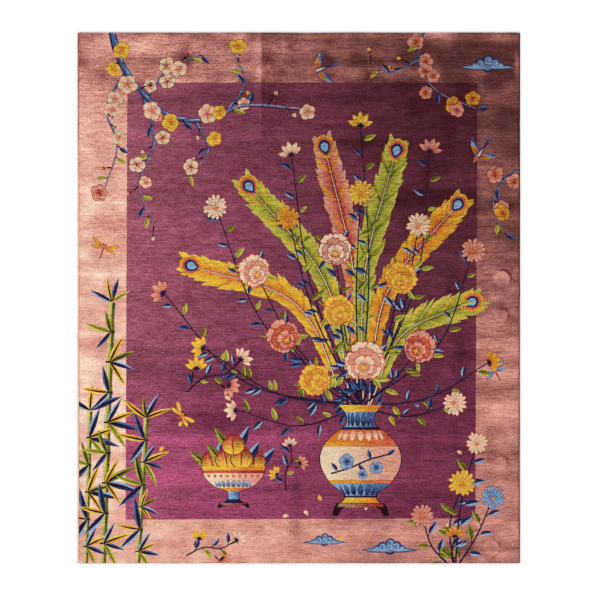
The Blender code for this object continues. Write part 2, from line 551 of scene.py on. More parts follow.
def turned_ware(place, profile, wares):
    """A turned vessel seen from the side, one unit high, with its foot at the origin."""
    heights, halves = smooth_path(profile).T

    def between(low, high, steps, edge, near, far):
        level = np.linspace(low, high, steps)
        half = np.interp(level, heights, halves) + edge
        sides = np.column_stack((half, level)), np.column_stack((-half, level))[::-1]
        place.paint(np.vstack(sides), near, far, ((-half.max(), 0.0), (half.max(), 0.0)))

    between(0.0, 1.0, 24, WARE_EDGE / np.linalg.norm(place.matrix[:, 0]), INK, INK)
    low = 0.0
    for high, near, far in wares:
        between(low, high, 8, 0.0, near, far)
        low = high


# Bands of petals round the vessels: the height and half width of each, how many petals it has,
# their length, their turn, how much they splay and their blend
VASE_LAPPETS = (
    (0.742, 0.2, 7, 0.115, -90.0, 0.42, IVORIES),
    (0.078, 0.17, 7, 0.118, 90.0, -0.55, DARK_BLUES),
    (0.78, 0.135, 6, 0.145, 90.0, 0.0, DARK_BLUES),
)
DISH_LAPPETS = (0.43, 0.46, 9, 0.2, 90.0, -0.45, BLUES)


def lappets(place, level, half, count, length, turn, splay, blend):
    """One band of petals, narrower towards the vessel's sides."""
    for index in range(count):
        angle = 150.0 * ((index + 0.5) / count - 0.5)
        wide = 2.5 * half / count * math.cos(math.radians(angle)) / length
        x = half * math.sin(math.radians(angle))
        here = place.within(x=x, y=level, turn=turn + splay * angle, size=length, flat=wide)
        petal(here, lens(1.0, 1.0, 0.45, 0.7), blend)


def stand(place, half):
    """A low wooden stand with its top at the origin."""
    top = np.array(((-half, -0.045), (half, -0.045), (0.9 * half, 0.0), (-0.9 * half, 0.0)))
    place.paint(top, INK)
    place.paint(top * 0.9 + (0.0, -0.006), TAN, RED, ((-half, 0.0), (half, 0.0)))
    foot = np.array(((0.56, -0.04), (1.0, -0.04), (1.08, -0.13), (0.86, -0.13), (0.74, -0.07)))
    for side in (1.0, -1.0):
        place.paint(foot * (side * half, 1.0), INK)


# The spray painted on the vase: its twig, the x, y and turn of its leaves, and the x, y and
# size of its blossoms
VASE_TWIG = ((-0.3, 0.3), (-0.1, 0.36), (0.08, 0.44), (0.3, 0.5))
VASE_LEAVES = ((-0.24, 0.33, 120), (-0.02, 0.39, -50), (0.1, 0.45, 100), (0.27, 0.49, 30))
VASE_BLOSSOMS = ((-0.14, 0.42, 0.085), (0.16, 0.36, 0.07), (0.02, 0.29, 0.055))


def vase(place):
    """The vase on its stand, with a blue spray painted on its belly."""
    turned_ware(place, VASE_PROFILE, VASE_WARES)
    for band in VASE_LAPPETS:
        lappets(place, *band)
    place.strip(smooth_path(VASE_TWIG, 2 * PATH_STEP), 0.018, NAVY)
    for x, y, turn in VASE_LEAVES:
        leaf(place.within(x=x, y=y, turn=turn, size=0.1), SLATE_LEAF)
    for x, y, size in VASE_BLOSSOMS:
        blossom(place.within(x=x, y=y, turn=20.0, size=size), BLUES)
    stand(place, 0.27)


# The x, y and turn of each peach
PEACHES = ((-0.5, 0.86, 108), (0.5, 0.86, 74), (-0.16, 0.92, 96), (0.2, 0.93, 84), (0.0, 1.3, 91))


def fruit_dish(place):
    """A footed dish, one unit high, with peaches in it."""
    for x, y, turn in PEACHES:
        peach(place.within(x=x, y=y, turn=turn, size=0.62))
    turned_ware(place, DISH_PROFILE, DISH_WARES)
    lappets(place, *DISH_LAPPETS)
    for index in range(9):
        place.within(x=0.17 * (index - 4), y=0.74).paint(disc(0.045, 7), CORAL)
    stand(place, 0.42)


# ---- The layout

MOUTH = (0.34, -0.6)
# The tips of the feathers in the vase, how far each bows to the left and its blends
FEATHERS = (
    (-0.6, 0.18, -0.2, (GOLDS, ORANGES)), (-0.28, 0.62, -0.12, (LIMES, GOLDS)),
    (0.14, 0.84, -0.05, (CORALS, ORANGES)), (0.54, 0.82, 0.06, (LIMES, OLIVES)),
    (0.88, 0.52, 0.13, (ORANGES, GOLDS)), (0.96, -0.02, 0.18, (LIMES, GOLDS)),
)

# The flowers of the bouquet from back to front, each with its place, its size and how far its
# stem bows to the left
Flower = namedtuple("Flower", "kind x y size bow blend")
BOUQUET = [Flower(*row) for row in (
    (cup_flower, -0.04, 0.78, 0.088, 0.06, IVORIES),
    (cup_flower, 0.34, 0.94, 0.09, -0.03, GOLDS),
    (cup_flower, 0.72, 0.8, 0.088, -0.08, CORALS),
    (daisy, -0.46, 0.5, 0.072, 0.12, PINKS),
    (cup_flower, -0.74, 0.02, 0.09, 0.16, CORALS),
    (daisy, 0.96, 0.26, 0.072, -0.14, CORALS),
    (cup_flower, -0.52, -0.28, 0.086, 0.1, GOLDS),
    (cup_flower, 1.04, -0.36, 0.086, -0.1, ORANGES),
    (cup_flower, -0.34, -0.62, 0.08, 0.14, PINKS),
    (daisy, 0.86, -0.58, 0.07, -0.12, IVORIES),
    (daisy, 0.34, 0.58, 0.074, 0.02, GOLDS),
    (daisy, -0.06, 0.44, 0.072, 0.05, ORANGES),
    (daisy, 0.66, 0.4, 0.07, -0.06, IVORIES),
    (peony, -0.24, 0.14, 0.09, 0.08, IVORIES),
    (peony, 0.2, 0.26, 0.096, 0.02, PINKS),
    (peony, 0.56, 0.1, 0.094, -0.04, GOLDS),
    (peony, -0.08, -0.22, 0.096, 0.06, CORALS),
    (peony, 0.66, -0.28, 0.096, -0.05, CORALS),
    (peony, 0.22, -0.08, 0.09, 0.02, GOLDS),
    (peony, 0.1, -0.46, 0.092, 0.05, GOLDS),
    (peony, 0.36, -0.36, 0.118, 0.0, IVORIES),
)]
STEM_LEAVES = (LIME_LEAF, SLATE_LEAF, LEMON_LEAF, SKY_LEAF)


def lay_bouquet(rug):
    """The vase of peacock feathers, peonies and chrysanthemums."""
    for x, y, bow, blends in FEATHERS:
        start = (MOUTH[0] + 0.08 * (x - MOUTH[0]), MOUTH[1])
        feather(rug, bowed(start, (x, y), bow), blends)
    for flower in BOUQUET:
        route = bowed(MOUTH, (flower.x, flower.y), flower.bow)
        leafy(rug, route, STEM_LEAVES, width=0.01, every=0.08, size=0.062)
    vase(rug.within(MOUTH[0], MOUTH[1] - VASE_HEIGHT + 0.01, size=VASE_HEIGHT))
    for flower in BOUQUET:
        out = math.degrees(math.atan2(flower.y - MOUTH[1], flower.x - MOUTH[0]))
        here = rug.within(flower.x, flower.y, out, flower.size)
        if flower.kind is peony:
            for index in range(4):
                around = here.within(turn=90.0 * index + 40.0 + rug.vary(12.0))
                leaf(around.within(x=0.8, size=0.62), STEM_LEAVES[index])
        flower.kind(here, flower.blend)


PLUM_BRANCH = ((-1.04, 1.5), (-0.96, 1.26), (-0.74, 1.02), (-0.5, 0.98), (-0.3, 1.06), (0.02, 1.04))
PLUM_TWIGS = (
    ((-0.96, 1.24), (-1.06, 1.04), (-1.0, 0.84), (-1.07, 0.6)),
    ((-0.86, 1.12), (-0.8, 0.86), (-0.88, 0.62), (-0.8, 0.4)),
    ((-0.58, 0.99), (-0.5, 0.82), (-0.6, 0.68)),
    ((-0.4, 1.02), (-0.3, 1.18), (-0.36, 1.36)),
    ((-0.84, 1.1), (-0.72, 1.26), (-0.54, 1.34)),
)
RIGHT_TWIGS = (
    ((0.7, 1.5), (0.66, 1.3), (0.76, 1.14), (0.98, 1.04)),
    ((0.67, 1.32), (0.5, 1.24), (0.4, 1.3)),
    ((1.24, 0.72), (1.12, 0.64), (1.07, 0.5), (1.13, 0.36)),
)


def lay_branches(rug):
    """The plum branch that comes in at the upper left, and the twigs at the upper right."""
    blends = (IVORIES, CORALS, PINKS, GOLDS)
    for route in PLUM_TWIGS:
        flowering(rug, route, blends, width=0.017)
    flowering(rug, PLUM_BRANCH, blends, width=0.04, every=0.1, size=0.052)
    for route in RIGHT_TWIGS:
        flowering(rug, route, (GOLDS, CORALS, ORANGES), width=0.015)


# Each cane's foot, its top, its width and how many lengths it has
CANES = (
    ((-1.175, -1.52), (-1.15, -0.62), 0.026, 6),
    ((-1.08, -1.52), (-1.03, -0.02), 0.036, 9),
    ((-0.89, -1.52), (-0.84, -0.66), 0.03, 7),
)
# How far the leaves lean from the cane at its joints, and how long they are
BAMBOO_LEAN = 82.0
BAMBOO_LENGTH = 0.15
BAMBOO_LEAVES = (LIME_LEAF, LEMON_LEAF, SLATE_LEAF, GOLD_LEAF, SKY_LEAF, LIME_LEAF)


def cane_joints(foot, top, count):
    foot, top = np.array(foot), np.array(top)
    return [foot + (top - foot) * index / count for index in range(count + 1)]


def lay_bamboo(rug):
    """The canes in the lower left corner, their leaves crossing from the border to the field."""
    for foot, top, width, count in CANES:
        bamboo(rug, cane_joints(foot, top, count), width)
    for foot, top, _, count in CANES:
        for index, joint in enumerate(cane_joints(foot, top, count)[1:], 1):
            side = 1.0 if index % 2 else -1.0
            turn = 90.0 if index == count else 90.0 - BAMBOO_LEAN * side
            bunch = rug.within(*joint, turn, BAMBOO_LENGTH + rug.vary(0.03))
            bamboo_leaves(bunch, BAMBOO_LEAVES[index % 4:], 3 + index % 2)


GARDEN_FOOT = (0.86, -1.5)
GARDEN = [Flower(*row) for row in (
    (daisy, 0.9, -1.02, 0.078, 0.1, GOLDS),
    (daisy, 1.07, -1.1, 0.066, -0.04, BLUES),
    (daisy, 0.68, -1.2, 0.068, 0.12, CORALS),
    (daisy, 0.98, -0.8, 0.064, 0.04, IVORIES),
    (cup_flower, 0.86, -1.32, 0.07, 0.1, ORANGES),
)]


def lay_garden(rug):
    """The flowers that grow up near the lower right corner."""
    for flower in GARDEN:
        route = bowed(GARDEN_FOOT, (flower.x, flower.y), flower.bow)
        leafy(rug, route, (SKY_LEAF, LIME_LEAF), width=0.011, every=0.06, size=0.075)
    for flower in GARDEN:
        flower.kind(rug.within(flower.x, flower.y, 90.0, flower.size), flower.blend)


DISH_PLACE = (-0.36, -1.13)
DISH_SIZE = 0.2
# The place, turn and size of each small motif
CLOUDS = ((1.04, 1.28, 0, 0.095), (0.5, -1.38, 0, 0.09), (0.14, -1.34, 0, 0.07))
SWALLOWS = ((0.12, 1.26, 200, 0.105), (1.0, 0.8, 235, 0.1))
DRAGONFLIES = ((-0.66, -0.66, 40, 0.09), (1.09, -0.42, 120, 0.08), (-1.08, 0.26, 70, 0.09))
SPRAYS = ((-0.62, -0.52, 24, 0.34), (-0.62, -1.42, 10, 0.28), (-0.07, -1.06, 78, 0.24))
# A spray's stem, and the x, y and turn of its flowers
SPRAY_STEM = ((0.0, 0.0), (0.36, 0.1), (0.7, 0.02), (1.0, 0.12))
SPRAY_FLOWERS = ((0.3, 0.26, 70), (0.66, -0.16, -60), (1.0, 0.12, 20))
# Loose petals: how many, the x between which they lie, their lowest row, how far above it each
# row is, how far a petal strays from its row and how long it is
FALLEN = 18
FALLEN_X = (-0.8, 1.0)
FALLEN_Y = -1.1
FALLEN_ROWS = (0.0, 0.12, 0.24)
FALLEN_STRAY = 0.3
FALLEN_LENGTH = 0.038
GOLDEN_SHARE = 0.618


def spray(rug, place, blends):
    """A cut spray along +X: three flowers and their leaves on one stem."""
    leafy(rug, place.on_rug(SPRAY_STEM), STEM_LEAVES, width=0.009, every=0.045, size=0.055)
    for blend, (x, y, turn) in zip(blends, SPRAY_FLOWERS):
        place.within(x=x - 0.12, y=0.5 * y, turn=turn).paint(lens(0.16, 0.03), INK)
        cup_flower(place.within(x=x, y=y, turn=turn, size=0.24), blend)


def lay_fallen_petals(rug):
    """Loose petals that lie about the lower half."""
    left, right = FALLEN_X
    for index in range(FALLEN):
        x = left + (right - left) * ((GOLDEN_SHARE * index) % 1.0)
        y = FALLEN_Y - rug.vary(FALLEN_STRAY) + FALLEN_ROWS[index % 3]
        here = rug.within(x, y, rug.vary(180.0), FALLEN_LENGTH + rug.vary(0.006))
        petal(here, lens(1.0, 0.62, 0.6, 0.7, 0.2), (PINKS, GOLDS, IVORIES, BLUES)[index % 4])


def lay_small_motifs(rug):
    for row in CLOUDS:
        cloud(rug.within(*row), BLUES)
    for row in SWALLOWS:
        swallow(rug.within(*row))
    for row, blend in zip(DRAGONFLIES, (GOLDS, BLUES, ORANGES)):
        dragonfly(rug.within(*row), blend)
    for row in SPRAYS:
        spray(rug, rug.within(*row), (GOLDS, CORALS, IVORIES))


FIELD_CORNERS = ((-0.955, -1.222), (0.972, -1.214), (0.984, 1.186), (-0.945, 1.186))
FIELD_STEP = 0.0255
FIELD_WANDER = 0.0011
FIELD_WAVES = (23, 57, 91)


def wandering(outline, amount, waves):
    """The outline with its points moved a little in and out, as rows of knots end unevenly."""
    turn = np.arange(len(outline)) / len(outline) * math.tau
    shift = sum(np.sin(turn * wave + 1.7 * wave) for wave in waves) / len(waves)
    looped = np.vstack((outline[-1:], outline, outline[:1]))
    return outline + amount * shift[:, None] * across_path(looped)[1:-1]


def whole_design(outline, rng):
    """The areas of the design. The first two are the grounds: the border's over the whole rug,
    and the field's inside it."""
    rug = Place([], rng)
    rug.paint(outline, BLUSH)
    field = closed_evenly(np.array(FIELD_CORNERS), FIELD_STEP)
    rug.paint(wandering(field, FIELD_WANDER, FIELD_WAVES), MAGENTA)
    lay_fallen_petals(rug)
    lay_branches(rug)
    lay_bamboo(rug)
    lay_small_motifs(rug)
    fruit_dish(rug.within(*DISH_PLACE, size=DISH_SIZE))
    lay_bouquet(rug)
    lay_garden(rug)
    return rug.areas


# ---- The tones of the grounds, from 0 in the palest wool to 1 in the darkest

# Where a new batch of dyed wool was begun: the band's middle and half height, and how much
# darker it is at the left and at the right edge
BORDER_BANDS = (
    (1.445, 0.026, 0.06, -0.22), (1.31, 0.032, 0.16, 0.02), (1.13, 0.035, 0.02, -0.06),
    (0.78, 0.05, 0.07, 0.0), (0.73, 0.06, 0.0, -0.04), (0.5, 0.04, 0.0, 0.05),
    (0.41, 0.05, 0.18, 0.0), (0.31, 0.026, 0.08, -0.02), (0.13, 0.032, 0.0, -0.08),
    (0.05, 0.04, 0.06, 0.0), (-0.265, 0.036, 0.24, -0.16), (-0.345, 0.024, -0.14, 0.1),
    (-0.42, 0.03, 0.0, -0.14), (-0.5, 0.024, 0.0, 0.16), (-0.62, 0.06, 0.0, -0.14),
    (-0.88, 0.036, 0.22, 0.02), (-0.97, 0.032, 0.05, 0.1), (-1.24, 0.02, 0.1, 0.03),
    (-1.29, 0.06, 0.02, -0.16),
)
FIELD_BANDS = (
    (1.09, 0.028, 0.12, 0.0), (0.89, 0.032, -0.12, 0.0), (0.65, 0.05, 0.02, -0.07),
    (0.56, 0.045, 0.1, 0.03), (0.4, 0.06, -0.07, 0.0), (0.21, 0.03, 0.03, -0.06),
    (0.13, 0.035, -0.08, 0.0), (0.01, 0.04, 0.06, 0.0), (-0.31, 0.026, 0.17, 0.02),
    (-0.39, 0.055, 0.19, -0.04), (-0.53, 0.06, 0.06, 0.02), (-0.64, 0.024, 0.1, 0.0),
    (-0.78, 0.034, -0.26, -0.04), (-0.905, 0.022, 0.04, 0.02), (-0.99, 0.046, -0.32, -0.02),
    (-1.1, 0.03, -0.05, 0.03),
)

# Single patches: their x and y, how far each reaches across and along the rug, and how much
# darker it is than the wool round it
BORDER_BLOTS = (
    (-0.82, 1.37, 0.18, 0.055, -0.2), (-0.62, 1.37, 0.04, 0.09, 0.18),
    (-0.6, 1.25, 0.3, 0.055, 0.2), (-0.24, 1.34, 0.03, 0.14, -0.08),
    (-0.105, 1.37, 0.035, 0.07, -0.1), (0.5, 1.255, 0.28, 0.05, -0.09),
    (0.765, 1.457, 0.1, 0.014, -0.4), (1.205, 1.29, 0.014, 0.055, -0.24),
    (0.2, -1.4, 0.34, 0.08, -0.13), (0.91, -1.385, 0.1, 0.035, 0.16),
    (-0.012, -1.33, 0.026, 0.12, 0.2), (1.16, -1.43, 0.04, 0.03, -0.14),
    (1.09, -0.62, 0.06, 0.035, -0.1), (-0.74, 1.456, 0.38, 0.018, 0.26),
    (-0.07, 1.44, 0.22, 0.036, 0.2), (-1.215, 1.27, 0.06, 0.11, 0.14),
    (-1.215, 0.36, 0.06, 0.44, -0.1), (1.215, 0.48, 0.06, 0.14, -0.08),
    (1.215, -0.12, 0.06, 0.14, 0.12), (1.215, -0.76, 0.05, 0.13, 0.09),
    (0.55, -1.45, 0.6, 0.03, 0.09), (0.9, 1.335, 0.36, 0.045, 0.12),
    (1.16, 1.22, 0.06, 0.03, 0.12), (1.1, 1.09, 0.12, 0.03, -0.08),
    (1.08, 0.62, 0.16, 0.34, -0.06), (1.08, -0.01, 0.08, 0.04, -0.12),
    (1.06, -0.53, 0.1, 0.05, 0.14), (1.05, -0.95, 0.09, 0.08, -0.12),
    (-1.08, 1.22, 0.06, 0.04, 0.26), (-1.03, 0.43, 0.05, 0.07, 0.2),
    (0.04, 1.32, 0.07, 0.035, -0.15), (1.025, 0.64, 0.045, 0.28, -0.07),
    (1.1, -0.235, 0.13, 0.05, 0.11), (1.17, -1.21, 0.07, 0.09, 0.09),
    (-0.2, -1.35, 0.32, 0.05, -0.12), (0.86, -1.345, 0.16, 0.06, 0.09),
    (-0.56, 1.325, 0.18, 0.045, 0.14), (-1.04, 1.29, 0.055, 0.06, 0.1),
    (-1.12, 0.56, 0.07, 0.09, -0.18), (-1.15, -0.93, 0.1, 0.16, -0.18),
    (1.06, -1.385, 0.11, 0.035, 0.1), (1.09, -0.62, 0.11, 0.06, 0.07),
    (1.13, -0.43, 0.11, 0.07, -0.12), (0.26, 1.335, 0.24, 0.04, -0.07),
)
FIELD_BLOTS = (
    (0.33, 0.87, 0.28, 0.035, 0.11), (-0.25, 0.54, 0.26, 0.05, -0.18),
    (-0.42, 0.26, 0.14, 0.06, -0.14), (-0.45, -0.46, 0.3, 0.055, 0.18),
    (-0.45, -0.69, 0.3, 0.08, 0.26), (0.05, -0.58, 0.18, 0.05, 0.14),
    (-0.1, -1.0, 0.22, 0.07, 0.18), (0.7, -0.9, 0.26, 0.05, -0.08),
    (0.9, -0.35, 0.05, 0.18, 0.09), (-0.68, -1.07, 0.1, 0.06, 0.16),
    (-0.012, -1.08, 0.022, 0.12, 0.14),
)

# Patches of wool that took the dye unevenly: their size across and along, and their strength
PATCHES = (
    (0.24, 0.09, 0.042), (0.11, 0.046, 0.044), (0.05, 0.024, 0.025), (0.06, 0.3, 0.045),
    (0.7, 0.016, 0.035),
)
# The same for the clouds near the top end, and the shares of the rug's length where they begin
# and are all there
TOP_CLOUDS = (0.085, 0.075, 0.09)
TOP_CLOUDS_UP = (0.8, 0.92)

# A ground's tone at the bottom of one side, and its changes on the way up: how much each is, and
# the shares of the rug's length where it begins and ends
BORDER_LEFT = (0.22, ((-0.16, 0.02, 0.22), (0.12, 0.38, 0.54), (0.32, 0.78, 0.92)))
BORDER_RIGHT = (0.64, ((0.34, 0.38, 0.68),))
FIELD_LEFT = (0.33, ((0.14, 0.08, 0.45), (0.04, 0.6, 0.9)))
FIELD_RIGHT = (0.82, ((0.15, 0.3, 0.75),))


def rise(value, low, high):
    """0 below low, 1 above high and a smooth curve between."""
    share = np.clip((value - low) / (high - low), 0.0, 1.0)
    return share ** 2 * (3.0 - 2.0 * share)


def shares_of(points):
    """How far each point lies from the left to the right edge, and from the bottom to the top."""
    return np.clip((points - RUG_LOW[:2]) / RUG_SIZE[:2], 0.0, 1.0).T


def marks_tone(points, bands, blots):
    """How much darker the bands and blots make each point."""
    across, _ = shares_of(points)
    tone = np.zeros(len(points))
    for y, half, left, right in bands:
        tilt = 0.01 * np.sin(2.9 * points[:, 0] + 31.0 * y)
        change = left + (right - left) * across
        tone += change * np.exp(-((points[:, 1] - y - tilt) / half) ** 4)
    for x, y, wide, high, change in blots:
        away = (points - (x, y)) / (wide, high)
        tone += change * np.exp(-np.sum(away ** 2, axis=1))
    return tone


def soft_random(points, across, along, rng):
    """Smooth random values about 0, in cells of this size."""
    cells = np.maximum((points - RUG_LOW[:2]) / (across, along), 0.0)
    x, y = np.floor(cells).astype(int).T
    right, up = rise(cells % 1.0, 0.0, 1.0).T
    values = rng.normal(size=np.ceil(RUG_SIZE[:2] / (across, along)).astype(int) + 2)
    low = values[x, y] + (values[x + 1, y] - values[x, y]) * right
    high = values[x, y + 1] + (values[x + 1, y + 1] - values[x, y + 1]) * right
    return low + (high - low) * up


def uneven_tone(points):
    """The unevenness of hand-dyed wool, with round clouds of it towards the rug's top end. It is
    the same each time it is asked for."""
    rng = np.random.default_rng(SEED)
    tone = sum(strength * soft_random(points, *size, rng) for *size, strength in PATCHES)
    _, up = shares_of(points)
    *size, strength = TOP_CLOUDS
    return tone + strength * rise(up, *TOP_CLOUDS_UP) * soft_random(points, *size, rng)


def side_tone(up, bottom, changes):
    """A ground's tone at one side, at these shares of the rug's length."""
    tone = bottom
    for change, low, high in changes:
        tone = tone + change * rise(up, low, high)
    return tone


def border_tone(points):
    """How dark the border is at each point: least on the left and most at the top right."""
    across, up = shares_of(points)
    left = side_tone(up, *BORDER_LEFT)
    right = side_tone(up, *BORDER_RIGHT)
    tone = left + (right - left) * rise(across, 0.12, 0.78)
    return tone + marks_tone(points, BORDER_BANDS, BORDER_BLOTS)


def field_tone(points):
    """The same for the field, with its own changes across and up."""
    across, up = shares_of(points)
    left = side_tone(up, *FIELD_LEFT)
    right = side_tone(up, *FIELD_RIGHT)
    share = np.clip((across - 0.1) / 0.66, 0.0, 1.0) ** (1.15 - 0.45 * up)
    return left + (right - left) * share + marks_tone(points, FIELD_BANDS, FIELD_BLOTS)


# ---- The carpet's surface

PILE_ROUNDING = 0.0045
WAVE_HEIGHT = 0.0011
# The low waves in the rug: how much of the height each makes, its radians a metre across and
# along, and where it starts
WAVES = ((0.5, 5.3, 1.9, 0.7), (0.3, -3.1, 8.7, 2.2), (0.2, 13.9, -4.3, 4.1))

FOLD_X = -0.206
FOLD_FOOT = 0.62
FOLD_DEPTH = 0.0012
FOLD_HALF_WIDTH = 0.014

# Dents that furniture left, each with its soft edge's half width, how much lighter the pile is
# inside it and how much lighter it is along its upper right rim. Both are painted light: sheen
# where they are positive and shade where they are negative.
Dent = namedtuple("Dent", "x y radius soft shine rim")
DENTS = (
    Dent(1.118, 0.103, 0.044, 0.006, 0.72, -0.95),
    Dent(1.113, -0.1, 0.036, 0.008, 0.3, -0.75),
    Dent(1.061, -1.377, 0.041, 0.008, 0.6, -0.2),
    Dent(1.092, -0.614, 0.038, 0.01, 0.22, -0.1),
    Dent(1.108, -0.915, 0.04, 0.012, 0.16, -0.48),
    Dent(0.315, -1.462, 0.03, 0.012, -0.22, 0.0),
)
DENT_DEPTH = 0.0009
# Where a dent's wall begins and ends, in its radii
DENT_WALL = (0.5, 1.3)

# Points of the CAD carpet belong to one of its sides within this distance, and to its outline
# from this height up
SIDE_ZONE = 0.05
ABOVE_UNDERSIDE = 0.0005


def vertices_of(node):
    return np.array([vertex.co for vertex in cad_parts[node].data.vertices])


def carpet_outline():
    """The CAD carpet's outline where it is widest, anticlockwise."""
    vertices = vertices_of("carpet")
    height = vertices[:, 2]
    above = height > height.min() + ABOVE_UNDERSIDE
    widest = above & (height < height.max() - PILE_ROUNDING / 2)
    points = np.unique(np.round(vertices[widest, :2], 5), axis=0)
    reach = np.hypot(points[:, 0], points[:, 1])
    turn = np.arctan2(points[:, 1], points[:, 0])
    return points[np.lexsort((reach, turn))]


def side_lines(outline):
    """The left, right, bottom and top edge, each as the places of its points along it and across
    it, the axis across it and the side of the rug's middle that it lies on."""
    lines = []
    for axis, end in ((0, -1), (0, 1), (1, -1), (1, 1)):
        near = outline[np.abs(outline[:, axis] - RUG_HIGH[axis] * end) < SIDE_ZONE]
        along = near[:, 1 - axis]
        order = np.argsort(along)
        lines.append((along[order], near[:, axis][order], axis, end))
    return lines


def edge_distance(points, lines):
    """How far each point lies inside the nearest of the four edges."""
    gaps = [
        end * (np.interp(points[:, 1 - axis], along, value) - points[:, axis])
        for along, value, axis, end in lines
    ]
    return np.maximum(np.min(gaps, axis=0), 0.0)


def waves(x, y):
    """The low rise and fall of a heavy rug that doesn't lie quite flat."""
    swell = [share * np.sin(across * x + along * y + start) for share, across, along, start in WAVES]
    return WAVE_HEIGHT * sum(swell)


def fold_trough(x, y):
    """The shallow trough where the rug was folded, from its foot in the field to the top edge."""
    depth = np.clip((y - FOLD_FOOT) / (RUG_HIGH[1] - FOLD_FOOT), 0.0, 1.0)
    return FOLD_DEPTH * depth * np.exp(-((x - FOLD_X) / FOLD_HALF_WIDTH) ** 2)


def dent_troughs(x, y):
    """How far the pile is pressed down in the dents."""
    depth = np.zeros(len(x))
    foot, brim = DENT_WALL
    for dent in DENTS:
        away = np.hypot(x - dent.x, y - dent.y)
        depth += DENT_DEPTH * (1.0 - rise(away, foot * dent.radius, brim * dent.radius))
    return depth


def pile_height(points, lines):
    """z of the pile's top, which rounds over along the edges."""
    x, y = points.T
    inside = np.minimum(edge_distance(points, lines), PILE_ROUNDING)
    drop = PILE_ROUNDING - np.sqrt(PILE_ROUNDING ** 2 - (PILE_ROUNDING - inside) ** 2)
    return PILE_TOP - drop + waves(x, y) - fold_trough(x, y) - dent_troughs(x, y)


# ---- The carpet's mesh

GRID_STEP = 0.0145
JITTER = 0.3
OUTLINE_STEP = 0.0085
OUTLINE_JITTER = 0.0006
OUTLINE_TOLERANCE = 0.00025
MERGE_DISTANCE = 1e-6
RIM_INSETS = (0.0012, PILE_ROUNDING)
UNDERSIDE_STEP = 0.06
# The rings of the carpet's sides, from the pile's lower end to the underside: height and inset
WALL_RINGS = ((0.0032, 0.0004), (0.001, 0.0006), (0.0, 0.0016))

# What colours a triangle that no area of the design does
FOUNDATION = -1
BACK_BORDER = -2
BACK_FIELD = -3


def drawn_in(outline, amount):
    """The carpet's outline, moved inwards on all four sides."""
    return outline * (1.0 - amount / CARPET_HIGH[:2])


def grid_over(step, kept=slice(None)):
    """A grid of points over the carpet, of the rows and columns that are kept."""
    rows = [np.arange(CARPET_LOW[axis], CARPET_HIGH[axis], step)[kept] for axis in (0, 1)]
    return np.stack(np.meshgrid(*rows), axis=-1).reshape(-1, 2)


def grid_inside(lines, rng):
    """A grid of points inside the pile's rounding, each moved a little at random."""
    points = grid_over(GRID_STEP)
    points = points + rng.uniform(-JITTER, JITTER, points.shape) * GRID_STEP
    return points[edge_distance(points, lines) > 2.0 * RIM_INSETS[-1]]


def fold_lines():
    y = np.arange(FOLD_FOOT, RUG_HIGH[1] - 2.0 * RIM_INSETS[-1], GRID_STEP)
    shifts = (-FOLD_HALF_WIDTH, 0.0, FOLD_HALF_WIDTH)
    return [np.column_stack((np.full(len(y), FOLD_X + shift), y)) for shift in shifts]


def divide(faces, loops=(), lines=(), points=(), merge=MERGE_DISTANCE):
    """A flat mesh divided along every face's outline, loop and line: its points, what each was
    made from, its triangles and, for each triangle, the highest face that covers it."""
    vertices = []
    edges = []
    indexed = []
    for outline in faces:
        indexed.append(list(range(len(vertices), len(vertices) + len(outline))))
        vertices.extend(outline)
    for outline, closed in [(loop, True) for loop in loops] + [(line, False) for line in lines]:
        first, count = len(vertices), len(outline)
        pairs = [(first + index, first + (index + 1) % count) for index in range(count)]
        edges.extend(pairs if closed else pairs[:-1])
        vertices.extend(outline)
    vertices.extend(points)
    flat = [Vector(vertex) for vertex in vertices]
    found, _, triangles, origins, _, covers = delaunay_2d_cdt(flat, edges, indexed, 0, merge)
    kept = [(triangle, max(cover)) for triangle, cover in zip(triangles, covers) if 0 in cover]
    corners, areas = (np.array(column) for column in zip(*kept))
    used, corners = np.unique(corners, return_inverse=True)
    sources = [origins[index] for index in used]
    return np.array(found)[used], sources, corners.reshape(-1, 3), areas


def meeting_edges(triangles, areas):
    """The edges where two areas meet, as pairs of vertices."""
    edges = np.sort(np.concatenate([triangles[:, [i, (i + 1) % 3]] for i in range(3)]), axis=1)
    owners = np.tile(areas, 3)
    order = np.lexsort((edges[:, 1], edges[:, 0]))
    edges, owners = edges[order], owners[order]
    shared = np.all(edges[1:] == edges[:-1], axis=1) & (owners[1:] != owners[:-1])
    return edges[:-1][shared]


def lines_through(edges):
    """The edges joined into lines of vertices that run from one branching to the next."""
    beside = {}
    for start, end in edges.tolist():
        beside.setdefault(start, []).append(end)
        beside.setdefault(end, []).append(start)
    branchings = {vertex for vertex, others in beside.items() if len(others) != 2}
    lines = []
    for start in sorted(branchings) + sorted(beside):
        while beside[start]:
            line = [start]
            while len(line) == 1 or line[-1] not in branchings and line[-1] != start:
                after = beside[line[-1]].pop()
                beside[after].remove(line[-1])
                line.append(after)
            lines.append(line)
    return lines


def thinned(path):
    """The path without the points that lie close to a straight line between the others."""
    run = path[-1] - path[0]
    offset = path - path[0]
    length = float(np.hypot(*run))
    if length < OUTLINE_TOLERANCE:
        away = np.hypot(offset[:, 0], offset[:, 1])
    else:
        away = np.abs(run[0] * offset[:, 1] - run[1] * offset[:, 0]) / length
    furthest = int(np.argmax(away))
    if away[furthest] <= OUTLINE_TOLERANCE:
        return path[[0, -1]]
    return np.vstack((thinned(path[:furthest + 1]), thinned(path[furthest:])[1:]))


def boundary_of(triangles, areas):
    """The vertices of a flat mesh's boundary in order, anticlockwise, and the area that each
    shares with the next."""
    owners = {}
    for corners, area in zip(triangles.tolist(), areas.tolist()):
        for edge in zip(corners, corners[1:] + corners[:1]):
            owners[edge] = area
    following = {start: end for start, end in owners if (end, start) not in owners}
    loop = [next(iter(following))]
    while following[loop[-1]] != loop[0]:
        loop.append(following[loop[-1]])
    return np.array(loop), np.array([owners[start, following[start]] for start in loop])


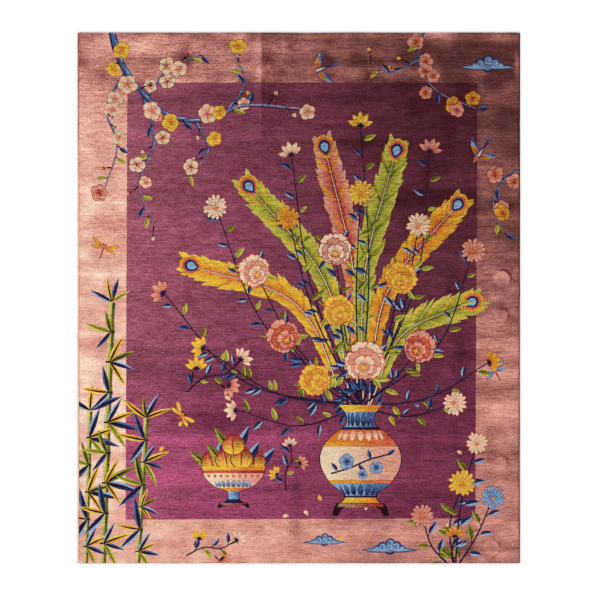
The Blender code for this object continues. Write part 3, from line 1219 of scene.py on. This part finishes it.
def wall_between(upper, lower):
    """Triangles between two rings of the same count, facing out where both run anticlockwise."""
    after = np.roll(np.arange(len(upper)), -1)
    first = np.column_stack((upper, lower, lower[after]))
    second = np.column_stack((upper, lower[after], upper[after]))
    return np.vstack((first, second))


class Shape:
    """The carpet's closed mesh while it is put together: points, triangles and, for each
    triangle, the area of the design that colours it."""

    def __init__(self):
        self.points = np.zeros((0, 3))
        self.triangles = np.zeros((0, 3), int)
        self.areas = np.zeros(0, int)

    def add_points(self, flat, height):
        """The indexes of new points over the flat ones."""
        level = np.broadcast_to(height, len(flat))
        self.points = np.vstack((self.points, np.column_stack((flat, level))))
        return np.arange(len(self.points) - len(flat), len(self.points))

    def add_triangles(self, triangles, areas):
        self.triangles = np.vstack((self.triangles, triangles))
        self.areas = np.concatenate((self.areas, np.broadcast_to(areas, len(triangles))))


def add_sides(shape, boundary, areas):
    """The pile's side, the foundation's edge below it and the ring where the underside starts."""
    flat = shape.points[boundary][:, :2]
    upper = boundary
    colours = np.concatenate((areas, areas))
    for height, inset in WALL_RINGS:
        lower = shape.add_points(drawn_in(flat, inset), height)
        shape.add_triangles(wall_between(upper, lower), colours)
        upper = lower
        colours = FOUNDATION
    return upper


def add_underside(shape, ring, field):
    """The flat back, whose outer points are the ring's own."""
    outline = shape.points[ring][:, :2]
    grid = grid_over(UNDERSIDE_STEP, slice(1, -1))
    flat, sources, triangles, areas = divide([outline, field], points=grid, merge=0.1 * MERGE_DISTANCE)
    on_ring = np.array([bool(source) and source[0] < len(ring) for source in sources])
    indexes = np.zeros(len(flat), int)
    indexes[on_ring] = [ring[sources[index][0]] for index in np.flatnonzero(on_ring)]
    indexes[~on_ring] = shape.add_points(flat[~on_ring], 0.0)
    back = np.where(areas == 0, BACK_BORDER, BACK_FIELD)
    shape.add_triangles(indexes[triangles[:, ::-1]], back)


def visible_design(design):
    """The carpet's outline, the lines where visible areas meet, and a function that tells which
    area points lie in. What lies hidden below other areas is left out."""
    flat, _, triangles, areas = divide([area.outline for area in design])
    lines = [thinned(flat[line]) for line in lines_through(meeting_edges(triangles, areas))]
    boundary, _ = boundary_of(triangles, areas)
    level = np.column_stack((flat, np.zeros(len(flat))))
    tree = BVHTree.FromPolygons(level.tolist(), triangles.tolist())

    def area_of(points):
        found = [tree.find_nearest((x, y, 0.0))[2] for x, y in points.tolist()]
        return areas[np.array(found)]

    return flat[boundary], lines, area_of


def carpet_shape(design, outline, rng):
    sides = side_lines(outline)
    boundary, lines, area_of = visible_design(design)
    rims = [drawn_in(outline, inset) for inset in RIM_INSETS]
    flat, _, triangles, _ = divide([boundary], rims, lines + fold_lines(), grid_inside(sides, rng))
    areas = area_of(flat[triangles].mean(axis=1))
    shape = Shape()
    shape.add_points(flat, pile_height(flat, sides))
    shape.add_triangles(triangles, areas)
    ring = add_sides(shape, *boundary_of(triangles, areas))
    add_underside(shape, ring, design[1].outline)
    return shape


# ---- The carpet's colours

# A ground's tone, how uneven it is, how much less green it shows at its bottom end and how much
# more at its left side, and the dyes that its tones stand for
Ground = namedtuple("Ground", "tone_at unevenness redder greener stops")
GROUNDS = {
    0: Ground(border_tone, 1.15, 0.0, 0.0, (
        (0.0, BLUSH), (0.18, APRICOT), (0.44, ROSE), (0.77, BRICK), (1.0, UMBER),
    )),
    1: Ground(field_tone, 0.6, 0.22, 0.16, ((0.0, MAGENTA), (0.53, PLUM), (1.0, WINE))),
}
# How much less uneven the darkest wool is, and from where to where about the last dye but one
DARK_EVENNESS = 0.6
EVENED_FROM = -0.12
EVENED_TO = 0.18
# The shares of the rug's length and width over which the changes in green fade out
REDDER_UP = (0.25, 0.5)
GREENER_ACROSS = (0.14, 0.36)
BACKS = {FOUNDATION: COTTON, BACK_BORDER: 0.9 * BLUSH, BACK_FIELD: 0.9 * MAGENTA}

# How much darker a motif's yarns are at the right side and at the top end, and the shares of the
# rug's width and length over which they darken
DIM_AT_RIGHT = 0.16
DIM_AT_TOP = 0.24
DIM_ACROSS = (0.05, 0.85)
DIM_UP = (0.35, 0.95)
# How far a ground's two yarns differ from its colour, each way
GROUND_GRAIN = 0.07
# The bake's map: the metres that it spans, the space round its parts and how small the back is
UV_SPAN = 3.3
UV_MARGIN = 0.04
UV_BACK_SCALE = 0.2
SHARP_ANGLE = math.radians(50)


def plain_colour(area, points):
    """The colour of a ground at each point, or of a part that shows no pile."""
    if area in BACKS:
        return np.broadcast_to(BACKS[area], (len(points), 3))
    ground = GROUNDS[area]
    places, dyes = (np.array(column) for column in zip(*ground.stops))
    tone = ground.tone_at(points)
    evened = DARK_EVENNESS * rise(tone, places[-2] + EVENED_FROM, places[-2] + EVENED_TO)
    tone = tone + ground.unevenness * (1.0 - evened) * uneven_tone(points)
    colour = np.column_stack([np.interp(tone, places, channel) for channel in dyes.T])
    across, up = shares_of(points)
    colour[:, 1] *= 1.0 - ground.redder * (1.0 - rise(up, *REDDER_UP))
    colour[:, 1] *= 1.0 + ground.greener * (1.0 - rise(across, *GREENER_ACROSS))
    return colour


def blend_share(drawn, points):
    """How much of a motif's far yarn shows at each point."""
    run = drawn.end - drawn.start
    length = float(np.linalg.norm(run))
    offset = points - drawn.start
    along = np.linalg.norm(offset, axis=1) / length if drawn.around else offset @ run / length ** 2
    return np.clip(along, 0.0, 1.0)


def corner_yarns(design, points, areas):
    """The near and far yarns and the share of the far one at each corner, given its place and
    the area that its triangle belongs to."""
    near = np.zeros((len(points), 3))
    far = np.zeros((len(points), 3))
    share = np.full(len(points), 0.5)
    across, up = shares_of(points)
    dim = 1.0 - DIM_AT_RIGHT * rise(across, *DIM_ACROSS) - DIM_AT_TOP * rise(up, *DIM_UP)
    order = np.argsort(areas, kind="stable")
    for here in np.split(order, np.flatnonzero(np.diff(areas[order])) + 1):
        area = int(areas[here[0]])
        if area in GROUNDS or area in BACKS:
            colour = plain_colour(area, points[here])
            near[here] = colour * (1.0 + GROUND_GRAIN)
            far[here] = colour * (1.0 - GROUND_GRAIN)
        else:
            drawn = design[area]
            share[here] = blend_share(drawn, points[here])
            near[here] = drawn.near * dim[here, None]
            far[here] = drawn.far * dim[here, None]
    return near, far, share


def outward(points):
    """Unit vectors out of the carpet, through the nearest of its four straight sides."""
    rows = np.arange(len(points))
    axis = np.argmax(np.abs(points[:, :2]) - CARPET_HIGH[:2], axis=1)
    out = np.zeros((len(points), 2))
    out[rows, axis] = np.sign(points[rows, axis])
    return out


def bake_map(corners, back):
    """Places in the map for baking: the top as seen from above, its sides laid
    out round it, and the back, smaller, in the strip beside them."""
    spread = corners[:, :2] + outward(corners) * (PILE_TOP - corners[:, 2:])
    front = (spread - (CARPET_LOW[:2] - UV_MARGIN)) / UV_SPAN
    behind = (corners[:, :2] - CARPET_LOW[:2]) * UV_BACK_SCALE / UV_SPAN
    strip = (CARPET_HIGH[0] - CARPET_LOW[0] + 3.0 * UV_MARGIN) / UV_SPAN
    return np.where(back[:, None], behind + (strip, UV_MARGIN / UV_SPAN), front)


def dress(piece, corners, back, yarns):
    """Stores the yarns and the place in the bake's map at each corner of a piece of pile."""
    near, far, share = yarns
    for name, values in (("near_yarn", near), ("far_yarn", far)):
        layer = piece.data.color_attributes.new(name, "FLOAT_COLOR", "CORNER")
        layer.data.foreach_set("color", np.hstack((values, np.ones((len(values), 1)))).ravel())
    layer = piece.data.attributes.new("yarn_share", "FLOAT", "CORNER")
    layer.data.foreach_set("value", share)
    layer = piece.data.uv_layers.new(name="OFBake")
    layer.data.foreach_set("uv", bake_map(corners, back).ravel())


def new_object(name, points, faces, material):
    mesh = bpy.data.meshes.new(name)
    mesh.from_pydata(points.tolist(), [], faces.tolist())
    mesh.materials.append(material)
    made = bpy.data.objects.new(name, mesh)
    bpy.context.scene.collection.objects.link(made)
    return made


def make_piece(name, points, triangles, material):
    piece = new_object(name, points, triangles, material)
    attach(piece, "root")
    return piece


def make_carpet(design, outline, material, rng):
    shape = carpet_shape(design, outline, rng)
    piece = make_piece("carpet_pile", shape.points, shape.triangles, material)
    corners = shape.points[shape.triangles.ravel()]
    areas = np.repeat(shape.areas, 3)
    dress(piece, corners, areas <= BACK_BORDER, corner_yarns(design, corners[:, :2], areas))
    piece.data.shade_smooth()
    piece.data.set_sharp_from_angle(angle=SHARP_ANGLE)
    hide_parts("carpet")
    return piece


# ---- The edge tufts

# Tufts stand close together along the two ends. Each is a slim pyramid that lies on its side.
TUFT_PITCH = 0.0026
TUFT_WIDTH = 0.0024
TUFT_REACH = 0.0012
TUFT_ROOT = 0.0012
TUFT_HEIGHT = 0.0045
TUFT_LEVEL = 0.55
TUFT_TIP_LEVEL = 0.35
# The three corners of its root, across and up, and its faces, where point 3 is its tip
TUFT_CORNERS = ((-0.5, -0.5), (0.5, -0.5), (0.0, 0.5))
TUFT_FACES = ((0, 1, 2), (0, 3, 1), (1, 3, 2), (2, 3, 0))
TUFT_POINTS = len(TUFT_CORNERS) + 1
END_DEPTH = 0.02
CORNER_CLEARANCE = 0.008


def tuft_shapes(outline, rng):
    """Points and triangles of small pointed tufts of pile that stand out from the two ends."""
    edge = closed_evenly(outline, TUFT_PITCH)
    edge = edge[np.abs(edge[:, 1]) > CARPET_HIGH[1] - END_DEPTH]
    x, y = edge[np.abs(edge[:, 0]) < CARPET_HIGH[0] - CORNER_CLEARANCE].T
    out = np.sign(y)
    reach = TUFT_REACH * rng.uniform(0.2, 1.0, len(x))
    height = TUFT_HEIGHT * rng.uniform(0.75, 1.25, len(x))
    lean = TUFT_WIDTH * rng.uniform(-0.5, 0.5, len(x))
    corners = []
    for across, up in TUFT_CORNERS:
        level = np.full(len(x), TUFT_LEVEL * PILE_TOP + TUFT_HEIGHT * up)
        corners.append(np.column_stack((x + TUFT_WIDTH * across, y - TUFT_ROOT * out, level)))
    tip = np.column_stack((x + lean, y + reach * out, TUFT_TIP_LEVEL * PILE_TOP + height))
    points = np.stack(corners + [tip], axis=1).reshape(-1, 3)
    faces = np.array(TUFT_FACES)
    outwards = np.where(out[:, None, None] > 0, faces, faces[:, ::-1])
    return points, (outwards + TUFT_POINTS * np.arange(len(x))[:, None, None]).reshape(-1, 3)


def make_tufts(design, outline, material, rng):
    """The tufts, each in the border's yarns at its root."""
    points, triangles = tuft_shapes(outline, rng)
    piece = make_piece("edge_tufts", points, triangles, material)
    roots = np.repeat(points[::TUFT_POINTS, :2], 3 * len(TUFT_FACES), axis=0)
    yarns = corner_yarns(design, roots, np.zeros(len(roots), int))
    dress(piece, points[triangles.ravel()], np.zeros(len(roots), bool), yarns)
    return piece


# ---- The side cords

WRAP_PITCH = 0.0046
WRAP_STEPS = 4
WRAP_SLANT = 0.9
WRAP_DEPTH = 0.09
WRAP_LOOSENESS = 0.03
CORD_SIDES = 8
CORD_END = 0.004
CORD_END_SCALE = 0.6
CORD_WANDER = 0.0003
RING_TOLERANCE = 0.0002


def cord_line(node):
    """(y, x) of the middle of a CAD cord, ring by ring, with its half width and height."""
    vertices = vertices_of(node)
    levels = np.unique(np.round(vertices[:, 1], 4))
    rings = [vertices[np.abs(vertices[:, 1] - level) < RING_TOLERANCE] for level in levels]
    middles = np.array([0.5 * (ring[:, 0].min() + ring[:, 0].max()) for ring in rings])
    widest = max(np.ptp(ring[:, 0]) for ring in rings)
    return levels, middles, 0.5 * float(widest), float(vertices[:, 2].max())


def cord_shape(node, slant):
    """A cord overcast with yarn: a tube whose slanting ridges are the turns of the yarn."""
    levels, middles, half_width, height = cord_line(node)
    count = round((levels[-1] - levels[0]) / WRAP_PITCH * WRAP_STEPS)
    y = np.linspace(levels[0], levels[-1], count + 1)[:, None]
    x = np.interp(y, levels, middles) + CORD_WANDER * np.sin(41.0 * y) * np.sin(17.0 * y + 1.0)
    turn = math.tau * np.arange(CORD_SIDES)[None, :] / CORD_SIDES
    ridge = np.cos(math.tau * y / WRAP_PITCH + slant * turn)
    loose = 0.5 * np.sin(67.0 * y) + 0.5 * np.sin(131.0 * y + 2.0)
    swell = 1.0 - WRAP_DEPTH * (0.5 - 0.5 * ridge) - WRAP_LOOSENESS * (0.5 + 0.5 * loose)
    taper = np.clip(np.minimum(y - levels[0], levels[-1] - y) / CORD_END, 0.0, 1.0)
    swell = swell * (CORD_END_SCALE + (1.0 - CORD_END_SCALE) * np.sqrt(taper))
    up = 0.5 * height + 0.5 * height * swell * np.sin(turn)
    across = half_width * swell * np.cos(turn)
    points = np.stack((x + across, np.broadcast_to(y, up.shape), np.maximum(up, 0.0)), axis=-1)
    return points.reshape(-1, 3), tube_triangles(count, CORD_SIDES)


def tube_triangles(count, sides):
    """Triangles of a closed tube of count + 1 rings that follow +Y, its sides turning from +X
    to +Z."""
    ring = np.arange(sides)
    after = (ring + 1) % sides
    first = sides * np.arange(count)[:, None]
    low = np.stack((first + ring, first + sides + ring, first + after), axis=-1).reshape(-1, 3)
    high = np.stack((first + after, first + sides + ring, first + sides + after), axis=-1)
    near = np.array([(0, index, index + 1) for index in range(1, sides - 1)])
    far = near[:, ::-1] + sides * count
    return np.vstack((low, high.reshape(-1, 3), near, far))


def make_cord(side, dyes, slant):
    node = f"selvedge_{side}"
    slot = f"{side}_cord_yarn"
    points, triangles = cord_shape(node, slant)
    piece = make_piece(f"{side}_cord", points, triangles, cord_material(slot, dyes))
    piece.data.shade_smooth()
    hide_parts(node)
    return piece


# ---- Materials


class Value:
    """An output of one of a material's nodes, and what further nodes make of it."""

    def __init__(self, tree, socket):
        self.tree = tree
        self.socket = socket

    def made(self, kind, inputs, output=0, **settings):
        """An output of a new node. Its inputs are values or constants, by number or by name."""
        node = self.tree.nodes.new(kind)
        for name, value in settings.items():
            setattr(node, name, value)
        for name, value in inputs.items():
            if isinstance(value, Value):
                self.tree.links.new(value.socket, node.inputs[name])
            else:
                node.inputs[name].default_value = value
        return Value(self.tree, node.outputs[output])

    def other(self, output):
        """Another output of the same node."""
        return Value(self.tree, self.socket.node.outputs[output])

    def maths(self, operation, second=0.0, third=0.0):
        return self.made("ShaderNodeMath", {0: self, 1: second, 2: third}, operation=operation)

    def vector_maths(self, operation, second, output=0):
        inputs = {0: self, 1: second}
        return self.made("ShaderNodeVectorMath", inputs, output, operation=operation)

    def __add__(self, other):
        return self.maths("ADD", other)

    def __mul__(self, other):
        return self.maths("MULTIPLY", other)

    def __sub__(self, other):
        return self.maths("SUBTRACT", other)

    def part(self, axis):
        return self.made("ShaderNodeSeparateXYZ", {0: self}, axis)

    def noise(self, across, along, up=1.0, detail=2.0):
        """Soft noise about 0.5, with this many cells in a metre."""
        stretched = self.vector_maths("MULTIPLY", (across, along, up))
        return self.made("ShaderNodeTexNoise", {"Vector": stretched, "Scale": 1.0, "Detail": detail})

    def ramp(self, start, end, at_start=0.0, at_end=1.0):
        """at_start where the value is start, at_end where it is end, a smooth curve between and
        level beyond them. Either may be the greater."""
        inputs = dict(enumerate((self, start, end, at_start, at_end)))
        return self.made("ShaderNodeMapRange", inputs, interpolation_type="SMOOTHSTEP")

    def centred(self, amount):
        """A value about 0.5 turned into one about 0 that reaches amount each way."""
        return self.maths("MULTIPLY_ADD", 2.0 * amount, -amount)

    def mixed(self, first, second):
        """A colour that goes from the first to the second as the value goes from 0 to 1."""
        return self.made("ShaderNodeMix", {0: self, 6: first, 7: second}, 2, data_type="RGBA")

    def bump(self, strength, distance):
        inputs = {"Height": self, "Strength": strength, "Distance": distance}
        return self.made("ShaderNodeBump", inputs, "Normal")


def total(values):
    first, *others = values
    for value in others:
        first = first + value
    return first


def new_material(name):
    """A new material and, as a value of its nodes, the place on the rug."""
    material = bpy.data.materials.new(name)
    material.use_nodes = True
    tree = material.node_tree
    return material, Value(tree, tree.nodes.new("ShaderNodeTexCoord").outputs["Object"])


def finish_material(material, colour, constants, bump=None):
    inputs = material.node_tree.nodes["Principled BSDF"].inputs
    colour.tree.links.new(colour.socket, inputs["Base Color"])
    if bump:
        colour.tree.links.new(bump.socket, inputs["Normal"])
    for name, value in constants.items():
        inputs[name].default_value = value
    return material


# As the wool gets lighter or darker, its green and blue change more than its red
CHANNEL_POWERS = (0.85, 1.2, 1.15)


def deepened(colour, factor):
    """A colour times a factor, with its own power for each channel."""
    powers = [factor.maths("POWER", power) for power in CHANNEL_POWERS]
    tint = factor.made("ShaderNodeCombineXYZ", dict(enumerate(powers)))
    return colour.vector_maths("MULTIPLY", tint)


WOOL_FINISH = {
    "Roughness": 0.96, "Specular IOR Level": 0.06, "Sheen Weight": 0.04, "Sheen Roughness": 0.6,
}
KNOT_PITCH = 0.0034
KNOT_SHAPE = (1.0, 1.15, 0.25)
KNOT_DISORDER = 0.85
KNOT_CONTRAST = 0.2
KNOT_BUMP = 0.6
KNOT_DEPTH = 0.0016
STIPPLE = 0.3

# Unevenness of the pile's colour: cells in a metre across and along the rug, their detail and
# how strong they are
Grain = namedtuple("Grain", "across along detail contrast")
GRAINS = (
    Grain(2.6, 85.0, 2.0, 0.28),
    Grain(15.0, 150.0, 2.0, 0.62),
    Grain(165.0, 215.0, 1.0, 1.3),
    Grain(32.0, 75.0, 2.0, 0.46),
    Grain(9.0, 26.0, 2.0, 0.36),
)
# Which of them the rows and the specks are, how much the specks decide between two yarns, how
# much stronger they are there, and how far the rows stand out
ROWS = 1
SPECKLE = 2
SPECKLE_SHARE = 0.6
SPECKLE_GAIN = 1.6
ROW_RELIEF = 0.3

# How strong all of that is in dark wool, and in light wool at the rug's bottom and top end
DARK_CONTRAST = 1.15
BOTTOM_CONTRAST = 0.78
TOP_CONTRAST = 1.25
BOTTOM_Y = -0.9
TOP_Y = 1.3
DARKEST_FACTOR = 0.3
# The brightness of dark, middling and light wool, and how much of its contrast light wool keeps
DARK_WOOL = 0.08
MIDDLE_WOOL = 0.25
LIGHT_WOOL = 0.5
LIGHT_SHARE = 0.5

# The old fold, painted as light and shade: how much painted highlight lightens the pile on its
# left and how much painted shade darkens it on its right, how far from it each begins and is all
# there, and where both reach their full strength
FOLD_HIGHLIGHT = 0.32
FOLD_SHADE = -0.38
HIGHLIGHT_SPAN = (-0.055, -0.012)
SHADE_SPAN = (0.21, 0.01)
FOLD_FULL_Y = 1.3
FOLD_SOFT = 0.004

# How far each dent's painted rim shade lies to its upper right, how far the dents' outlines wander,
# and the wandering's cells in a metre
RIM_SHIFT = 0.012
DENT_WANDER = 0.012
DENT_CELLS = (38.0, 38.0, 38.0)

# The painted wrinkle shade: its own cells in a metre, those of the places where it shows, and the
# noise and the x where it begins and is all there
WRINKLE_CELLS = (7.0, 30.0)
WRINKLE_PLACES = (4.0, 6.0)
WRINKLE_NOISE = (0.5, 0.6)
WRINKLE_X = (0.9, 1.1)
# How much the painted shade darkens the wrinkled lines, and how wide they are
WRINKLE_SHADE = -0.3
WRINKLE_WIDTH = 0.02


def two_yarns(place, chance):
    """The two yarns of an area, knot by knot, more of the far one where its share is greater."""
    near, far, share = (
        place.made("ShaderNodeAttribute", {}, output, attribute_name=name)
        for name, output in (("near_yarn", "Color"), ("far_yarn", "Color"), ("yarn_share", "Fac"))
    )
    return (share - chance).ramp(-STIPPLE, STIPPLE).mixed(near, far)


def fold_highlight_and_shade(place):
    """Painted highlight and then painted shade along the old fold, from left to right: how much
    lighter and then darker the pile is.
    """
    shift = place.part(0) - FOLD_X
    light = shift.ramp(*HIGHLIGHT_SPAN) * shift.ramp(FOLD_SOFT, -FOLD_SOFT) * FOLD_HIGHLIGHT
    dark = shift.ramp(-FOLD_SOFT, FOLD_SOFT) * shift.ramp(*SHADE_SPAN) * FOLD_SHADE
    return (light + dark) * place.part(1).ramp(FOLD_FOOT, FOLD_FULL_Y)


def round_cover(place, dent, shift):
    """1 inside a dent that is shifted to its upper right, falling to 0 outside its soft rim."""
    middle = (dent.x + shift, dent.y + shift, PILE_TOP)
    away = place.vector_maths("DISTANCE", middle, "Value")
    return away.ramp(dent.radius + dent.soft, dent.radius - dent.soft)


def dent_sheen_and_shade(place):
    """Painted sheen and shade at the dents: how much lighter or darker the pile is there. Their
    outlines wander a little.
    """
    shift = place.noise(*DENT_CELLS).centred(DENT_WANDER)
    place = place.vector_maths("ADD", shift.made("ShaderNodeCombineXYZ", {0: shift}))
    painted_light = []
    for dent in DENTS:
        cover = round_cover(place, dent, 0.0)
        rim = round_cover(place, dent, RIM_SHIFT) * cover.maths("MULTIPLY_ADD", -1.0, 1.0)
        painted_light += [cover * dent.shine, rim * dent.rim]
    return total(painted_light)


def wrinkle_shade(place):
    """Painted shade in short wavy lines near the right edge, where the pile has parted."""
    from_line = (place.noise(*WRINKLE_CELLS, detail=3.0) - 0.5).maths("ABSOLUTE")
    shown = place.noise(*WRINKLE_PLACES).ramp(*WRINKLE_NOISE)
    shown = shown * place.part(0).ramp(*WRINKLE_X)
    return from_line.ramp(WRINKLE_WIDTH, 0.0, 0.0, WRINKLE_SHADE) * shown


def contrast(place, colour):
    """How strong the unevenness is: even in dark wool, less towards the lightest wool."""
    brightness = colour.made("ShaderNodeRGBToBW", {0: colour})
    at_height = place.part(1).ramp(BOTTOM_Y, TOP_Y, BOTTOM_CONTRAST, TOP_CONTRAST)
    light = brightness.ramp(MIDDLE_WOOL, LIGHT_WOOL, 1.0, LIGHT_SHARE) * at_height
    return brightness.ramp(DARK_WOOL, MIDDLE_WOOL) * (light - DARK_CONTRAST) + DARK_CONTRAST


def wool_material():
    """Cut wool pile: knots of two yarns, streaks along the rows, and painted light and shade at the
    fold, the dents and the wrinkled lines.
    """
    material, place = new_material("pile_wool")
    knots = {"Vector": place.vector_maths("MULTIPLY", KNOT_SHAPE), "Scale": 1.0 / KNOT_PITCH,
             "Randomness": KNOT_DISORDER}
    from_middle = place.made("ShaderNodeTexVoronoi", knots, "Distance")
    chance = place.made("ShaderNodeSeparateColor", {0: from_middle.other("Color")})
    tone = chance.other(1)
    grains = [place.noise(grain.across, grain.along, detail=grain.detail) for grain in GRAINS]
    speckle = grains[SPECKLE].maths("MULTIPLY_ADD", SPECKLE_GAIN, 0.5 - 0.5 * SPECKLE_GAIN)
    colour = two_yarns(place, chance * (1.0 - SPECKLE_SHARE) + speckle * SPECKLE_SHARE)
    uneven = [value.centred(grain.contrast) for value, grain in zip(grains, GRAINS)]
    change = total([tone.centred(KNOT_CONTRAST)] + uneven) * contrast(place, colour)
    # Painted highlight, sheen and shade at the fold, the dents and the wrinkled lines, added to the
    # unevenness
    painted_light = fold_highlight_and_shade(place) + dent_sheen_and_shade(place) + wrinkle_shade(place)
    factor = (change + painted_light + 1.0).maths("MAXIMUM", DARKEST_FACTOR)
    height = from_middle.maths("MULTIPLY_ADD", -1.0, grains[ROWS].centred(ROW_RELIEF))
    bump = height.bump(KNOT_BUMP, KNOT_DEPTH)
    return finish_material(material, deepened(colour, factor), WOOL_FINISH, bump)


# The dyes of a cord's yarn at its bottom and its top end, and the share of the rug's length
# over which the one turns into the other
CordYarn = namedtuple("CordYarn", "bottom top low high")
LEFT_CORD = CordYarn(yarn(242, 203, 180), yarn(174, 118, 106), 0.62, 0.98)
RIGHT_CORD = CordYarn(yarn(150, 92, 88), yarn(62, 24, 28), 0.36, 0.64)
CORD_FINISH = {"Roughness": 0.95, "Specular IOR Level": 0.05}
STRANDS = (160.0, 900.0, 160.0)
STRAND_CONTRAST = 0.35
STRAND_BUMP = 0.5
STRAND_DEPTH = 0.0006
CORD_CONTRAST = 0.55


def cord_material(name, dyes):
    """Overcast yarn: fine strands that run round the cord, darker in places."""
    material, place = new_material(name)
    strands = place.noise(*STRANDS)
    low, high = (float(RUG_LOW[1] + share * RUG_SIZE[1]) for share in (dyes.low, dyes.high))
    dye = place.part(1).ramp(low, high).mixed((*dyes.bottom, 1.0), (*dyes.top, 1.0))
    dark = place.noise(0.0, 6.0, 0.0, detail=3.0)
    change = strands.centred(STRAND_CONTRAST) + dark.centred(CORD_CONTRAST) + 1.0
    bump = strands.bump(STRAND_BUMP, STRAND_DEPTH)
    return finish_material(material, deepened(dye, change), CORD_FINISH, bump)


# ---- Floor, light and camera

FLOOR_SIZE = 16.0
FLOOR_TONE = 0.9
FLOOR_SHADE = 0.99
FLOOR_CELLS = 0.7
FLOOR_FINISH = {"Roughness": 0.95, "Specular IOR Level": 0.1}
WORLD_STRENGTH = 0.3125
LIGHT_HEIGHT = 4.6
LIGHT_REACH = 4.2
LIGHT_SIZE = 4.0
LIGHT_POWER = 131.0
LIGHTS = {"left": (-1.0, 0.3), "right": (1.0, -0.3), "front": (-0.3, -1.0), "back": (0.3, 1.0)}
# The width that the photograph shows at the pile's level, and the middle of what it shows
FRAME_WIDTH = 3.3055
FRAME_CENTRE = (0.0064, -0.0119)
CAMERA_HEIGHT = 9.0
SENSOR_WIDTH = 36.0


def make_floor():
    material, place = new_material("floor")
    tone = np.array((FLOOR_TONE, FLOOR_TONE, FLOOR_TONE))
    cast = place.noise(FLOOR_CELLS, FLOOR_CELLS, FLOOR_CELLS)
    colour = cast.mixed((*FLOOR_SHADE * tone, 1.0), (*tone, 1.0))
    finish_material(material, colour, FLOOR_FINISH)
    corners = 0.5 * FLOOR_SIZE * np.array(((-1, -1, 0), (1, -1, 0), (1, 1, 0), (-1, 1, 0)))
    floor = new_object("floor", corners, np.array(((0, 1, 2, 3),)), material)


def make_light(name, x, y):
    lamp = bpy.data.lights.new(name, "AREA")
    lamp.shape = "SQUARE"
    lamp.size = LIGHT_SIZE
    lamp.energy = LIGHT_POWER
    light = bpy.data.objects.new(name, lamp)
    light.location = (x, y, LIGHT_HEIGHT)
    light.rotation_euler = (-light.location).to_track_quat("-Z", "Y").to_euler()
    bpy.context.scene.collection.objects.link(light)


def make_lights():
    """Even soft light from four sides, and a pale world."""
    for name, (x, y) in LIGHTS.items():
        make_light(f"{name}_light", x * LIGHT_REACH, y * LIGHT_REACH)
    world = bpy.data.worlds.new("studio")
    world.use_nodes = True
    background = world.node_tree.nodes["Background"]
    background.inputs["Color"].default_value = (1.0, 1.0, 1.0, 1.0)
    background.inputs["Strength"].default_value = WORLD_STRENGTH
    bpy.context.scene.world = world


def make_camera():
    """Straight above the rug, as the photograph shows it, with its top end up."""
    data = bpy.data.cameras.new("camera")
    data.sensor_width = SENSOR_WIDTH
    data.lens = SENSOR_WIDTH * (CAMERA_HEIGHT - PILE_TOP) / FRAME_WIDTH
    camera = bpy.data.objects.new("camera", data)
    camera.location = (*FRAME_CENTRE, CAMERA_HEIGHT)
    bpy.context.scene.collection.objects.link(camera)
    bpy.context.scene.camera = camera


# ---- The rug


def make_rug():
    rng = np.random.default_rng(SEED)
    outline = closed_evenly(carpet_outline(), OUTLINE_STEP)
    outline = outline + rng.uniform(-OUTLINE_JITTER, 0.0, outline.shape) * np.sign(outline)
    design = whole_design(outline, np.random.default_rng(SEED + 1))
    wool = wool_material()
    carpet = make_carpet(design, outline, wool, rng)
    tufts = make_tufts(design, outline, wool, rng)
    left = make_cord("left", LEFT_CORD, WRAP_SLANT)
    right = make_cord("right", RIGHT_CORD, -WRAP_SLANT)


bpy.context.scene.view_settings.view_transform = "Standard"
make_rug()
make_floor()
make_lights()
make_camera()
